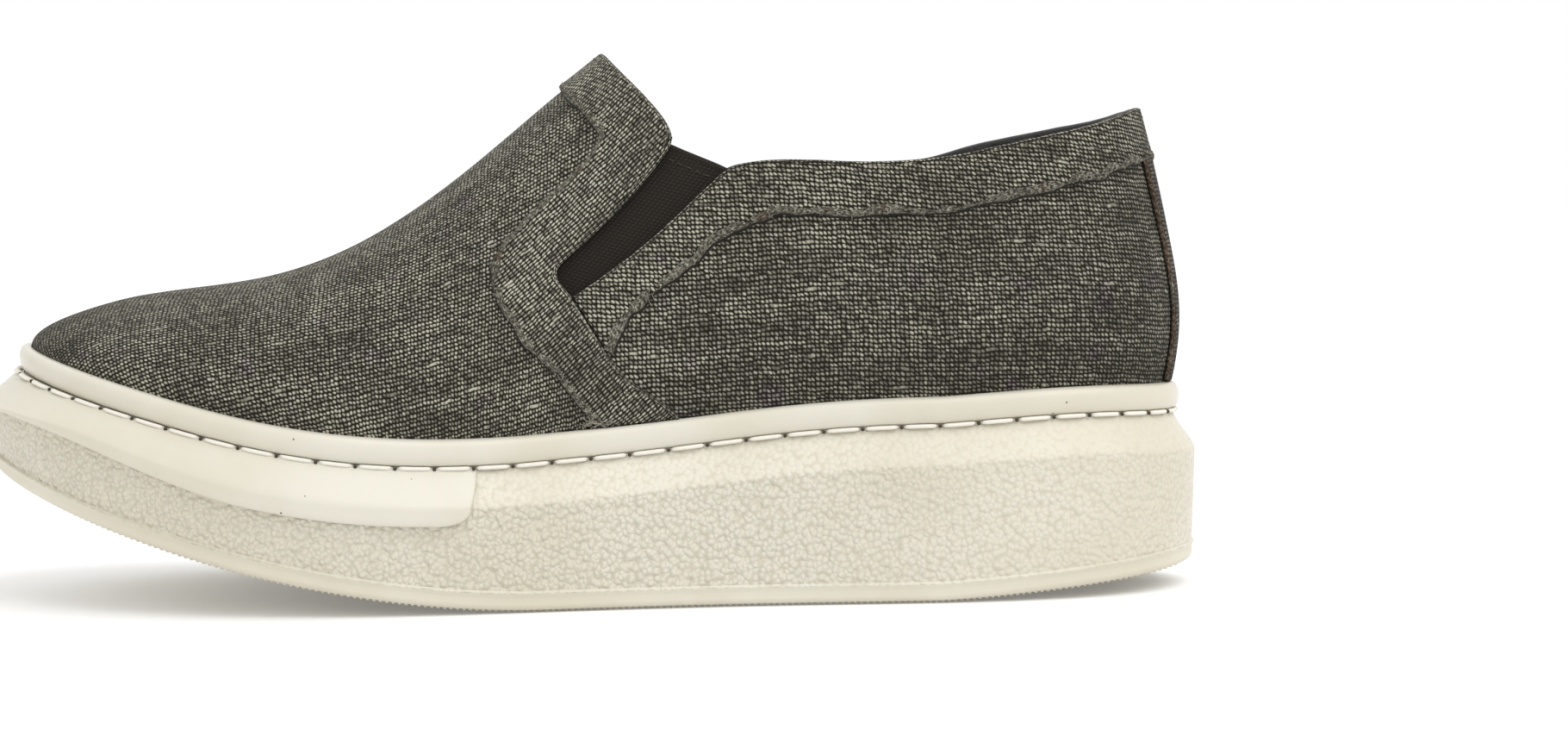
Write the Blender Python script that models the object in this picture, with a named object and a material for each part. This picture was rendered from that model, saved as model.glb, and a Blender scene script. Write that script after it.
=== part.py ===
"""A women's canvas slip-on on a cream rubber platform sole: the left shoe, standing on its sole.

The toe points along -X, the outer side faces -Y and the floor is z = 0. The origin is under the
middle of the sole. Everything follows one last: an outline at the sole, a line of welt heights, a
ridge over the foot, and arches that rise from the outline to the ridge.
"""

import math

import bmesh
import bpy
import numpy as np

# Sizes of the last, in metres
UPPER_LENGTH = 0.2634
BALL_WIDTH = 0.092
HEEL_WIDTH = 0.066
INSTEP_HEIGHT = 0.0836
COLLAR_HEIGHT = 0.0628
HEEL_BULGE = 0.0022
SIDE_BULGE = 0.0012
BULGE_RISE = 0.018
RIDGE_OFFSET = 0.003
TOE_ROUNDING = 0.027
HEEL_ROUNDING = 0.042

# Sizes of the upper's pieces
UPPER_WALL = 0.0018
BAND_THICKNESS = 0.0009
FACING_WIDTH = 0.0120
BINDING_WIDTH = 0.0114
HEEL_STRIP_WIDTH = 0.017
GORE_LENGTH = 0.042
GORE_WIDTH = 0.0125
GORE_THICKNESS = 0.0012

# Sizes of the sole's pieces
PLATFORM = 0.046
TOE_SPRING = 0.0268
HEEL_SPRING = 0.0046
WELT_HEIGHT = 0.0063
WELT_BULGE = 0.0028
SOLE_FLARE = 0.0064
TOE_REACH = 0.0040
BEVEL_DROP = 0.0085
WALL_DRAFT = 0.0008
BUMPER_LENGTH = 0.1060
BUMPER_DROP = 0.0125
BUMPER_THICKNESS = 0.0012
BUMPER_CORNER = 0.006
TOE_NARROWING = 0.60
OUTSOLE_THICKNESS = 0.0042
OUTSOLE_ROUNDING = 0.0020
INSOLE_THICKNESS = 0.003
INSOLE_EDGE = 0.001

# Clearance between pieces that touch
GAP = 0.0003

# Half widths of the outline, as shares of the width there, by share of length from the heel
OUTLINE = (
    # share, lateral, medial
    (0.02, 0.220, 0.220),
    (0.05, 0.333, 0.333),
    (0.10, 0.424, 0.424),
    (0.20, 0.492, 0.492),
    (0.30, 0.508, 0.485),
    (0.40, 0.486, 0.424),
    (0.50, 0.459, 0.382),
    (0.60, 0.469, 0.409),
    (0.68, 0.500, 0.467),
    (0.74, 0.505, 0.495),
    (0.80, 0.484, 0.489),
    (0.86, 0.424, 0.457),
    (0.91, 0.348, 0.397),
    (0.95, 0.255, 0.321),
    (0.98, 0.147, 0.212),
)
TOE_TIP = 0.033
WAIST_REAR = 0.30
WAIST_FRONT = 0.62
TOE_START = 0.5
HEEL_SWELL_START = 0.2

# Height of the welt's top over the tread, as a share of the platform
THICKNESS = (
    # share, thickness
    (0.00, 0.916),
    (0.06, 0.965),
    (0.20, 0.998),
    (0.28, 0.986),
    (0.35, 0.956),
    (0.42, 0.913),
    (0.49, 0.875),
    (0.56, 0.845),
    (0.64, 0.803),
    (0.71, 0.769),
    (0.78, 0.749),
    (0.86, 0.735),
    (0.94, 0.710),
    (1.00, 0.681),
)

# The flat of the tread, and how it curves up at both ends
NARROWING_START = 0.78
FLAT_REAR = 0.205
FLAT_FRONT = 0.55
HEEL_SPRING_POWER = 1.25
TOE_SPRING_POWER = 1.68

# Height of the ridge over the welt, as a share of the instep, and the roundness of the arch there
RIDGE = (
    # share, height, roundness
    (0.00, 1.240, 2.20),
    (0.20, 1.250, 2.30),
    (0.30, 1.235, 2.25),
    (0.37, 1.196, 2.15),
    (0.43, 1.120, 2.05),
    (0.49, 0.995, 2.00),
    (0.55, 0.860, 2.00),
    (0.61, 0.711, 2.05),
    (0.67, 0.570, 2.10),
    (0.73, 0.449, 2.20),
    (0.80, 0.341, 2.20),
    (0.88, 0.246, 2.15),
    (0.95, 0.156, 2.05),
    (1.00, 0.098, 2.00),
)

# The collar's edge over the welt, as a share of its height at the heel
COLLAR = (
    # share, height
    (-0.05, 1.020),
    (0.025, 1.000),
    (0.052, 0.957),
    (0.122, 0.890),
    (0.196, 0.847),
    (0.269, 0.840),
    (0.342, 0.871),
    (0.370, 0.871),
    (0.388, 0.860),
)

# The throat's edge from the ridge to its lower corner: shares of length and of the instep
THROAT = (
    # share, height
    (0.520, 1.100),
    (0.492, 1.000),
    (0.472, 0.933),
    (0.452, 0.864),
    (0.437, 0.803),
    (0.4295, 0.757),
)

# The gore's two edges along its own axis, and the facing beside it: shares of their sizes
GORE_FOOT = (0.5246, 0.383)
GORE_SLOPE = math.radians(43.0)
GORE_EDGES = (
    # along, front, rear, facing
    (0.00, 0.28, -0.30, 1.22),
    (0.19, 0.27, -0.40, 1.00),
    (0.42, 0.25, -0.50, 1.00),
    (0.60, 0.29, -0.53, 1.00),
    (0.79, 0.36, -0.53, 1.00),
    (0.93, 0.45, -0.53, 1.00),
    (1.15, 0.60, -0.55, 1.00),
)
GORE_TOP = 0.985
GORE_TOP_SLANT = 0.125
GORE_TUCK = -0.12
GORE_FOOT_EDGES = (-0.7, 0.6)

# The facing's rear edge below the gore, down to the welt: shares of length, instep and width
FACING_LEG = (
    # share, height, facing
    (0.486, 0.192, 0.90),
    (0.472, 0.122, 0.92),
    (0.453, 0.078, 0.95),
    (0.424, 0.000, 1.00),
    (0.414, -0.050, 1.00),
)
FACING_FOOT = 1.2

# The binding beside the gore is narrower than round the collar
BINDING_GORE_SHARE = 0.82

# How much the upper's cut edges sink from the lateral side to the medial side
MEDIAL_FALL = 0.015

# The welt's half round section: shares of its bulge and of its height
WELT_SECTION = (
    # out, height
    (0.00, 1.00),
    (0.45, 0.96),
    (0.86, 0.79),
    (1.00, 0.50),
    (0.88, 0.22),
    (0.50, 0.03),
    (0.00, 0.00),
)

# The platform's bevel under the groove: shares of the flare and of the bevel's drop
BEVEL = (
    # out, drop
    (0.16, 0.00),
    (0.38, 0.35),
    (0.78, 0.73),
    (1.00, 1.00),
    (1.00, 1.16),
)

# The toe bumper outside the bevel, from its foot up: shares of its thickness and of its fall
BUMPER_FACE = (
    # out, fall
    (0.00, 1.00),
    (0.70, 1.00),
    (1.00, 0.60),
    (1.00, 0.00),
)
BUMPER_CREST = 0.95
BUMPER_TOP_OUT = 0.5
BUMPER_SLOPE_OUT = 0.75
BUMPER_SLOPE_RISE = 0.35
BUMPER_LEAST_DROP = 1.04
BUMPER_END_RISE = 0.6

# How finely the surfaces are divided
STATIONS = 72
ARCH_ROWS = 16
COLLAR_POINTS = 24
ROUNDING_STEPS = 3
BUMPER_END_STEPS = (0.0, 0.08, 0.3, 0.6, 1.0)
SMALL_TURN = 0.02
SHARP_ANGLE = math.radians(40)
CORNER_SHARE = 0.94

X_HEEL = (UPPER_LENGTH + TOE_REACH + 2 * GAP + BUMPER_THICKNESS) / 2
OVERHEAD = 0.2


def spline(rows):
    """A smooth curve through rows of (place, value)."""
    place = np.array([row[0] for row in rows])
    value = np.array([row[1] for row in rows])
    step = np.diff(place)
    count = len(place)
    system = np.eye(count)
    right = np.zeros(count)
    for i in range(1, count - 1):
        system[i, i - 1 : i + 2] = step[i - 1], 2 * (step[i - 1] + step[i]), step[i]
        right[i] = 6 * ((value[i + 1] - value[i]) / step[i] - (value[i] - value[i - 1]) / step[i - 1])
    bend = np.linalg.solve(system, right)

    def curve(at):
        i = min(max(int(np.searchsorted(place, at)) - 1, 0), count - 2)
        a = (place[i + 1] - at) / step[i]
        b = 1 - a
        bow = ((a**3 - a) * bend[i] + (b**3 - b) * bend[i + 1]) * step[i] ** 2 / 6
        return float(a * value[i] + b * value[i + 1] + bow)

    return curve


def ease(share):
    """A smooth step from 0 to 1."""
    share = min(max(share, 0.0), 1.0)
    return share * share * (3 - 2 * share)


def closed_rows():
    """The outline's y by angle: heel, lateral side, toe, medial side, with a few rows repeated."""
    lateral = []
    medial = []
    for share, out, inward in OUTLINE:
        waist = ease((share - WAIST_REAR) / (WAIST_FRONT - WAIST_REAR))
        width = HEEL_WIDTH + (BALL_WIDTH - HEEL_WIDTH) * waist
        angle = math.acos(1 - 2 * share)
        lateral.append((angle, -out * width))
        medial.append((2 * math.pi - angle, inward * width))
    rows = [(0.0, 0.0)] + lateral + [(math.pi, TOE_TIP * BALL_WIDTH)] + medial[::-1]
    before = [(angle - 2 * math.pi, y) for angle, y in rows[-4:]]
    after = [(angle + 2 * math.pi, y) for angle, y in rows[:4]]
    return before + rows + after


outline_y = spline(closed_rows())
thickness_at = spline(THICKNESS)
ridge_at = spline([row[:2] for row in RIDGE])
roundness_at = spline([(row[0], row[2]) for row in RIDGE])
collar_at = spline(COLLAR)
ANGLES = [2 * math.pi * i / STATIONS for i in range(STATIONS)]
MIDDLE_Y = (max(map(outline_y, ANGLES)) + min(map(outline_y, ANGLES))) / 2


def outline(angle, out=0.0):
    """A point of the last's outline in plan, moved outward by a distance."""
    x = X_HEEL - UPPER_LENGTH * (1 - math.cos(angle)) / 2
    y = outline_y(angle) - MIDDLE_Y
    small = 1e-4
    along_x = -UPPER_LENGTH * math.sin(angle) / 2
    along_y = (outline_y(angle + small) - outline_y(angle - small)) / (2 * small)
    length = math.hypot(along_x, along_y)
    return x - along_y / length * out, y + along_x / length * out


def sole_outline(angle, out):
    """A point outside the outline in plan, further out round the toe, where the sole reaches on."""
    toe = ease((-math.cos(angle) - TOE_START) / (1 - TOE_START))
    return outline(angle, out + TOE_REACH * toe * min(out / SOLE_FLARE, 1.0))


def share_of(x):
    return (X_HEEL - x) / UPPER_LENGTH


def tread(x):
    """Height of the sole's underside: flat under heel and forefoot, rising to heel and toe."""
    share = share_of(x)
    if share < FLAT_REAR:
        return HEEL_SPRING * ((FLAT_REAR - share) / FLAT_REAR) ** HEEL_SPRING_POWER
    if share > FLAT_FRONT:
        return TOE_SPRING * ((share - FLAT_FRONT) / (1 - FLAT_FRONT)) ** TOE_SPRING_POWER
    return 0.0


def welt_top(x):
    return tread(x) + PLATFORM * thickness_at(share_of(x))


def groove(x):
    """Height of the stitched groove, where the platform ends and the welt begins."""
    return welt_top(x) - WELT_HEIGHT


def bulge(angle, height):
    """How far the upper swells past the outline, most at the back of the heel."""
    heel = ease((math.cos(angle) - HEEL_SWELL_START) / (1 - HEEL_SWELL_START))
    toe = ease((-math.cos(angle) - TOE_START) / (1 - TOE_START))
    size = HEEL_BULGE * heel + SIDE_BULGE * (1 - heel) * (1 - toe)
    rise = height / BULGE_RISE
    return size * rise * math.exp((1 - rise * rise) / 2)


def last_point(angle, turn):
    """A point of the upper's outer face: turn is 0 at the welt and a quarter turn at the ridge."""
    x0, y0 = outline(angle)
    across = (1 - math.cos(angle)) / 2
    ridge_x = X_HEEL - HEEL_ROUNDING - (UPPER_LENGTH - HEEL_ROUNDING - TOE_ROUNDING) * across
    power = 2 / roundness_at(share_of(x0))
    inward = 1 - max(math.cos(turn), 0.0) ** power
    rise = max(math.sin(turn), 0.0) ** power
    x = x0 + (ridge_x - x0) * inward
    y = y0 + (RIDGE_OFFSET - y0) * inward
    height = INSTEP_HEIGHT * ridge_at(share_of(x))
    base = welt_top(x0)
    top = welt_top(x) + height
    z = base + (top - base) * rise
    swell_x, swell_y = outline(angle, bulge(angle, z - base))
    return np.array((x + swell_x - x0, y + swell_y - y0, z))


def last_normal(angle, turn):
    """The outward direction of the upper's face, from its neighbours."""
    small = SMALL_TURN
    turn = min(max(turn, small), math.pi / 2 - small)
    along = last_point(angle + small, turn) - last_point(angle - small, turn)
    up = last_point(angle, turn + small) - last_point(angle, turn - small)
    normal = np.cross(up, along)
    return normal / np.linalg.norm(normal)


def new_object(name, points, faces, material=None):
    """An object from points and faces, smooth but for its sharp edges."""
    mesh = bpy.data.meshes.new(name)
    mesh.from_pydata([tuple(point) for point in points], [], faces)
    work = bmesh.new()
    work.from_mesh(mesh)
    bmesh.ops.recalc_face_normals(work, faces=work.faces)
    work.to_mesh(mesh)
    work.free()
    mesh.shade_smooth()
    mesh.set_sharp_from_angle(angle=SHARP_ANGLE)
    made = bpy.data.objects.new(name, mesh)
    bpy.context.scene.collection.objects.link(made)
    if material:
        mesh.materials.append(material)
    return made


def new_material(name, colour, roughness):
    material = bpy.data.materials.new(name)
    material.use_nodes = True
    shader = material.node_tree.nodes["Principled BSDF"]
    shader.inputs["Base Color"].default_value = (*colour, 1.0)
    shader.inputs["Roughness"].default_value = roughness
    return material


def dome(name, outer, inner, skirt, material):
    """A shell over the whole last between two distances from it, with no floor."""
    points = []
    sheets = []
    for distance in (outer, inner):
        sheet = []
        for i, angle in enumerate(ANGLES):
            column = []
            for j in range(ARCH_ROWS + 1):
                turn = math.pi / 2 * j / ARCH_ROWS
                if j == ARCH_ROWS and i > STATIONS // 2:
                    column.append(sheet[STATIONS - i][-1])
                    continue
                point = last_point(angle, turn) + last_normal(angle, turn) * distance
                if j == 0:
                    flat_x, flat_y = outline(angle, distance)
                    foot = groove(flat_x) if skirt else welt_top(flat_x)
                    point = (flat_x, flat_y, foot + GAP)
                column.append(len(points))
                points.append(point)
                if j == 0 and skirt:
                    column.append(len(points))
                    points.append((flat_x, flat_y, welt_top(flat_x)))
            sheet.append(column)
        sheets.append(sheet)
    faces = []
    for sheet in sheets:
        for i in range(STATIONS):
            here, there = sheet[i], sheet[(i + 1) % STATIONS]
            for j in range(len(here) - 1):
                faces.append((here[j], there[j], there[j + 1], here[j + 1]))
    for i in range(STATIONS):
        ends = (sheets[0][i][0], sheets[0][(i + 1) % STATIONS][0])
        faces.append((*ends, sheets[1][(i + 1) % STATIONS][0], sheets[1][i][0]))
    return new_object(name, points, faces, material)


def slab(name, rings, material):
    """A solid from rings round the outline, top first, each a function of angle giving a point."""
    points = [ring(angle) for ring in rings for angle in ANGLES]
    faces = []
    for k in range(len(rings) - 1):
        for i in range(STATIONS):
            i2 = (i + 1) % STATIONS
            above, below = k * STATIONS, (k + 1) * STATIONS
            faces.append((above + i, above + i2, below + i2, below + i))
    for first in (0, (len(rings) - 1) * STATIONS):
        for i in range(STATIONS // 2):
            left, left2 = first + i, first + i + 1
            right = first + (STATIONS - i) % STATIONS
            right2 = first + STATIONS - i - 1
            corners = [left, left2, right2, right]
            faces.append([c for n, c in enumerate(corners) if c not in corners[:n]])
    return new_object(name, points, faces, material)


def strip(name, angles, profile, closed, material, plan):
    """A solid swept round the outline from a profile of points (out, height) at each angle."""
    rings = []
    for angle in angles:
        ring = []
        for out, height in profile(angle):
            x, y = plan(angle, out)
            ring.append((x, y, height(x)))
        rings.append(ring)
    size = len(rings[0])
    points = [point for ring in rings for point in ring]
    faces = []
    for i in range(len(rings) if closed else len(rings) - 1):
        here, there = i * size, (i + 1) % len(rings) * size
        for k in range(size):
            k2 = (k + 1) % size
            faces.append((here + k, here + k2, there + k2, there + k))
    if not closed:
        faces.append(tuple(range(size)))
        faces.append(tuple(range((len(rings) - 1) * size, len(rings) * size)))
    return new_object(name, points, faces, material)


def prism(name, points, low_y, high_y):
    """A cutter: a side view outline of (x, z) points, drawn out along Y and a little downward."""
    near = [(x, low_y, z - low_y * MEDIAL_FALL) for x, z in points]
    far = [(x, high_y, z - high_y * MEDIAL_FALL) for x, z in points]
    count = len(points)
    faces = [tuple(range(count)), tuple(range(2 * count - 1, count - 1, -1))]
    for i in range(count):
        i2 = (i + 1) % count
        faces.append((i, i2, count + i2, count + i))
    made = new_object(name, near + far, faces)
    made.hide_render = True
    made.display_type = "WIRE"
    return made


def boolean(piece, cutter, operation):
    modifier = piece.modifiers.new(cutter.name, "BOOLEAN")
    modifier.object = cutter
    modifier.operation = operation


def side(share, height):
    """A side view point from a share of length and a height over the welt, a share of the instep."""
    x = X_HEEL - share * UPPER_LENGTH
    return x, welt_top(x) + height * INSTEP_HEIGHT


def nearest(point, path):
    """The distance from a point to a path of straight runs."""
    found = []
    for (x1, z1), (x2, z2) in zip(path, path[1:]):
        run, climb = x2 - x1, z2 - z1
        along = ((point[0] - x1) * run + (point[1] - z1) * climb) / (run * run + climb * climb)
        along = min(max(along, 0.0), 1.0)
        found.append(math.hypot(point[0] - x1 - along * run, point[1] - z1 - along * climb))
    return min(found)


def shifted(path, distance, widths=None):
    """A side view path moved sideways, to the left of the way it runs, without its tight corners."""
    moved = []
    widths = widths or [1.0] * len(path)
    for i, (x, z) in enumerate(path):
        reach = distance * widths[i]
        before = path[max(i - 1, 0)]
        after = path[min(i + 1, len(path) - 1)]
        run, climb = after[0] - before[0], after[1] - before[1]
        length = math.hypot(run, climb)
        point = (x - climb / length * reach, z + run / length * reach)
        if nearest(point, path) > CORNER_SHARE * abs(reach):
            moved.append(point)
    return moved


def gore_point(along, across):
    """A side view point in the gore's own frame, in metres from the middle of its lower end."""
    x, z = side(*GORE_FOOT)
    cosine, sine = math.cos(GORE_SLOPE), math.sin(GORE_SLOPE)
    return x + along * cosine - across * sine, z + along * sine + across * cosine


def gore_edge(column):
    """One edge of the gore's slot from its foot to above its top."""
    return [gore_point(row[0] * GORE_LENGTH, row[column] * GORE_WIDTH) for row in GORE_EDGES]


def collar_edge(drop=0.0):
    """The collar's edge from the gore to past the heel, lowered by a distance."""
    first, last = COLLAR[-1][0], COLLAR[0][0]
    edge = []
    for i in range(COLLAR_POINTS):
        share = first + (last - first) * i / (COLLAR_POINTS - 1)
        x = X_HEEL - share * UPPER_LENGTH
        edge.append((x, welt_top(x) + collar_at(share) * COLLAR_HEIGHT - drop))
    return edge


def throat_edge():
    return [side(share, height) for share, height in THROAT]


def facing_rear():
    """The facing's rear edge: down the throat, down the gore's front edge and on to the welt."""
    front = gore_edge(1)[:-1][::-1]
    foot = gore_edge(2)[0]
    leg = [side(row[0], row[1]) for row in FACING_LEG]
    return throat_edge() + front + [foot] + leg


def facing_widths():
    """The facing's width at each point of its rear edge, as a share."""
    front = [row[3] for row in GORE_EDGES][:-1][::-1]
    return [1.0] * len(THROAT) + front + [FACING_FOOT] + [row[2] for row in FACING_LEG]


def opening_cutter():
    """Everything over the throat and the collar."""
    throat = throat_edge()
    collar = collar_edge()
    far = collar[-1][0]
    return prism(
        "opening_cutter",
        throat + collar + [(far, OVERHEAD), (throat[0][0], OVERHEAD)],
        -BALL_WIDTH,
        BALL_WIDTH,
    )


def gore_cutter():
    slot = gore_edge(1)[::-1] + gore_edge(2)
    return prism("gore_cutter", slot, -BALL_WIDTH, BALL_WIDTH)


def facing_cutter():
    rear = facing_rear()
    front = shifted(rear, -FACING_WIDTH, facing_widths())
    return prism("facing_cutter", rear + front[::-1], -BALL_WIDTH, BALL_WIDTH)


def binding_cutter():
    """Round the collar's edge and down the gore's rear edge to the facing."""
    rear = gore_edge(2)
    low_front = shifted(rear, -BINDING_WIDTH * BINDING_GORE_SHARE)[1:-2]
    low = [point for point in collar_edge(BINDING_WIDTH) if point[0] > low_front[-1][0] + BINDING_WIDTH]
    leg = shifted(facing_rear()[-len(FACING_LEG) - 1 :], GAP)[:2]
    far = low[-1][0]
    path = leg[::-1] + rear[1:] + [(rear[-1][0], OVERHEAD), (far, OVERHEAD)] + low[::-1] + low_front[::-1]
    return prism("binding_cutter", path, -BALL_WIDTH, BALL_WIDTH)


def build_upper(materials, opening, slot):
    upper = dome("upper", 0.0, -UPPER_WALL, True, materials["canvas"])
    boolean(upper, opening, "DIFFERENCE")
    boolean(upper, slot, "DIFFERENCE")


def build_bands(materials, opening):
    outer = GAP + BAND_THICKNESS
    facing = dome("facing", outer, GAP, False, materials["canvas"])
    boolean(facing, facing_cutter(), "INTERSECT")
    boolean(facing, opening, "DIFFERENCE")
    binding = dome("collar_binding", outer, GAP, False, materials["canvas"])
    boolean(binding, binding_cutter(), "INTERSECT")
    boolean(binding, opening, "DIFFERENCE")
    strip_piece = dome("heel_strip", outer, GAP, False, materials["canvas"])
    top = [point for point in collar_edge(BINDING_WIDTH + GAP) if point[0] > X_HEEL - HEEL_ROUNDING]
    low = [(top[-1][0], 0.0), (top[0][0], 0.0)]
    half = HEEL_STRIP_WIDTH / 2
    centre = outline(0.0)[1]
    cutter = prism("heel_strip_cutter", top + low, centre - half, centre + half)
    boolean(strip_piece, cutter, "INTERSECT")


def build_gores(materials):
    near = -UPPER_WALL - GAP
    slant = GORE_TOP_SLANT * GORE_LENGTH
    front_top = gore_point(GORE_TOP * GORE_LENGTH - slant, GORE_WIDTH)
    rear_top = gore_point(GORE_TOP * GORE_LENGTH + slant, -GORE_WIDTH)
    top = [front_top, rear_top]
    foot = [gore_point(GORE_TUCK * GORE_LENGTH, edge * GORE_WIDTH) for edge in GORE_FOOT_EDGES]
    for name, low_y, high_y in (("gore_lateral", -BALL_WIDTH, 0.0), ("gore_medial", 0.0, BALL_WIDTH)):
        gore = dome(name, near, near - GORE_THICKNESS, False, materials["elastic"])
        boolean(gore, prism(name + "_cutter", top + foot, low_y, high_y), "INTERSECT")


def ring_at(out, height, plan=sole_outline):
    """A ring for a slab: a distance outside the outline at a height that follows x."""

    def ring(angle):
        x, y = plan(angle, out)
        return x, y, height(x)

    return ring


def below_groove(x, drop):
    """A height under the groove, where every drop grows less round the toe."""
    narrowing = ease((share_of(x) - NARROWING_START) / (1 - NARROWING_START))
    return groove(x) - drop * (1 - (1 - TOE_NARROWING) * narrowing)


def build_midsole(materials):
    rings = []
    for out, drop in BEVEL:
        rings.append(ring_at(out * SOLE_FLARE, lambda x, drop=drop: below_groove(x, drop * BEVEL_DROP)))
    foot = SOLE_FLARE - WALL_DRAFT
    rings.append(ring_at(foot, lambda x: tread(x) + OUTSOLE_THICKNESS + GAP))
    slab("midsole", rings, materials["rubber"])


def build_outsole(materials):
    out = SOLE_FLARE - WALL_DRAFT
    rings = [ring_at(out, lambda x: tread(x) + OUTSOLE_THICKNESS)]
    for step in range(ROUNDING_STEPS + 1):
        turn = math.pi / 2 * step / ROUNDING_STEPS
        inset = OUTSOLE_ROUNDING * (1 - math.cos(turn))
        rise = OUTSOLE_ROUNDING * (1 - math.sin(turn))
        rings.append(ring_at(out - inset, lambda x, rise=rise: tread(x) + rise))
    slab("outsole", rings, materials["rubber"])


def build_insole(materials):
    out = -UPPER_WALL - GAP
    edge = INSOLE_EDGE
    rings = [
        ring_at(out - edge, lambda x: groove(x) + GAP + INSOLE_THICKNESS, outline),
        ring_at(out, lambda x: groove(x) + GAP + INSOLE_THICKNESS - edge, outline),
        ring_at(out, lambda x: groove(x) + GAP, outline),
    ]
    slab("insole", rings, materials["lining"])


def build_welt(materials):
    """The half round bead over the foot of the canvas."""

    def profile(angle):
        points = []
        for out, height in WELT_SECTION:
            rise = GAP + height * (WELT_HEIGHT - GAP)
            points.append((GAP + out * (WELT_BULGE - GAP), lambda x, rise=rise: groove(x) + rise))
        return points

    strip("welt", ANGLES, profile, True, materials["rubber"], outline)


def bumper_section(low):
    """The bumper's section down to a drop below the groove: up its outside, then down its inside."""
    inner = [(out * SOLE_FLARE + 2 * GAP, drop * BEVEL_DROP) for out, drop in BEVEL[:4]]
    full, crest = inner[-1]
    fall = low - crest
    loop = [(full + out * BUMPER_THICKNESS, crest + down * fall) for out, down in BUMPER_FACE[:-1]]
    loop.append((full + BUMPER_FACE[-1][0] * BUMPER_THICKNESS, crest * BUMPER_CREST))
    out_step = BUMPER_THICKNESS * BUMPER_SLOPE_OUT
    rise_step = BUMPER_THICKNESS * BUMPER_SLOPE_RISE
    loop += [(out + out_step, drop - rise_step) for out, drop in inner[2:0:-1]]
    loop.append((inner[0][0] + BUMPER_TOP_OUT * BUMPER_THICKNESS, GAP))
    return loop + [(inner[0][0], GAP)] + inner[1:]


def build_bumper(materials):
    """The smooth band round the toe, over the platform's bevel."""
    end_share = 1 - BUMPER_LENGTH / UPPER_LENGTH
    first = math.acos(1 - 2 * end_share)
    corner = BUMPER_CORNER / (UPPER_LENGTH / 2 * math.sin(first))
    start = [first + corner * step for step in BUMPER_END_STEPS]
    limit = start[-1] + SMALL_TURN
    middle = [angle for angle in ANGLES if limit < angle < 2 * math.pi - limit]
    angles = start + middle + [2 * math.pi - angle for angle in start[::-1]]

    def profile(angle):
        near = min(angle - first, 2 * math.pi - first - angle)
        left = max(1 - near / corner, 0.0)
        rounding = 1 - math.sqrt(max(1 - left * left, 0.0))
        low = BUMPER_DROP - BUMPER_CORNER * BUMPER_END_RISE * rounding
        low = max(low, BEVEL_DROP * BUMPER_LEAST_DROP)
        section = bumper_section(low)
        return [(out, lambda x, drop=drop: below_groove(x, drop)) for out, drop in section]

    strip("toe_bumper", angles, profile, False, materials["gloss_rubber"], sole_outline)


def build():
    for old in list(bpy.data.objects):
        bpy.data.objects.remove(old, do_unlink=True)
    materials = {
        "canvas": new_material("washed_canvas", (0.10, 0.095, 0.085), 0.9),
        "elastic": new_material("dark_elastic", (0.02, 0.018, 0.017), 0.85),
        "rubber": new_material("cream_rubber", (0.78, 0.73, 0.60), 0.55),
        "gloss_rubber": new_material("smooth_cream_rubber", (0.80, 0.76, 0.64), 0.3),
        "lining": new_material("dark_lining", (0.03, 0.03, 0.03), 0.85),
    }
    opening = opening_cutter()
    build_outsole(materials)
    build_midsole(materials)
    build_welt(materials)
    build_bumper(materials)
    build_insole(materials)
    build_upper(materials, opening, gore_cutter())
    build_bands(materials, opening)
    build_gores(materials)


build()
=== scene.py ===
"""The looks of a women's canvas slip-on on a cream platform sole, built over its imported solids.

Lengths are metres unless a name says otherwise, in the frame of the solids: the toe points along -X,
the outer side faces -Y and the floor is z = 0. The form repeats the last of the solids.
"""

import math

import bmesh
import bpy
import numpy as np
from mathutils import Matrix, Vector
from mathutils.bvhtree import BVHTree

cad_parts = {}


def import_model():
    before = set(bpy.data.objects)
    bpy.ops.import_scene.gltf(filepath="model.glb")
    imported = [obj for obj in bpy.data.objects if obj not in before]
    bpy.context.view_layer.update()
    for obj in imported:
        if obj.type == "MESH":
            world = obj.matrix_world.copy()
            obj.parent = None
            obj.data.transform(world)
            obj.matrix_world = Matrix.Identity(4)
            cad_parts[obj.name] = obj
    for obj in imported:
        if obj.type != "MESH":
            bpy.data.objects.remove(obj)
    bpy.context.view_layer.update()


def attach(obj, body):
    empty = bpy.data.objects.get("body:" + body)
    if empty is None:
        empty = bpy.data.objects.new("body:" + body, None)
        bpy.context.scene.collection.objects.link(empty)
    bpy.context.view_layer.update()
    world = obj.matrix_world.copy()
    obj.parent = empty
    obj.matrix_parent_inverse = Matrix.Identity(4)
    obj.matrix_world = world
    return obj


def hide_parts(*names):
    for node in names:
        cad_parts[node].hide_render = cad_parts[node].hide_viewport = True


# The photograph: size in pixels, and the camera that took it
PHOTO_WIDTH = 1820
CAMERA_DISTANCE = 0.900
CAMERA_FOCUS_PX = 4500
CAMERA_RISE = math.radians(3.8)
CAMERA_ROLL = math.radians(0.7)
CAMERA_AIM = Vector((0.04585, 0.0, 0.0499))
SENSOR_MM = 36.0

# Sizes of the last
UPPER_LENGTH = 0.2634
BALL_WIDTH = 0.092
HEEL_WIDTH = 0.066
INSTEP_HEIGHT = 0.0836
COLLAR_HEIGHT = 0.0628
HEEL_BULGE = 0.0022
SIDE_BULGE = 0.0012
BULGE_RISE = 0.018
RIDGE_OFFSET = 0.003
TOE_ROUNDING = 0.027
HEEL_ROUNDING = 0.042

# Sizes of the upper's pieces
UPPER_WALL = 0.0018
BAND_THICKNESS = 0.0009
FACING_WIDTH = 0.0120
BINDING_WIDTH = 0.0114
HEEL_STRIP_WIDTH = 0.017
GORE_LENGTH = 0.042
GORE_WIDTH = 0.0125
GORE_THICKNESS = 0.0012

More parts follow.
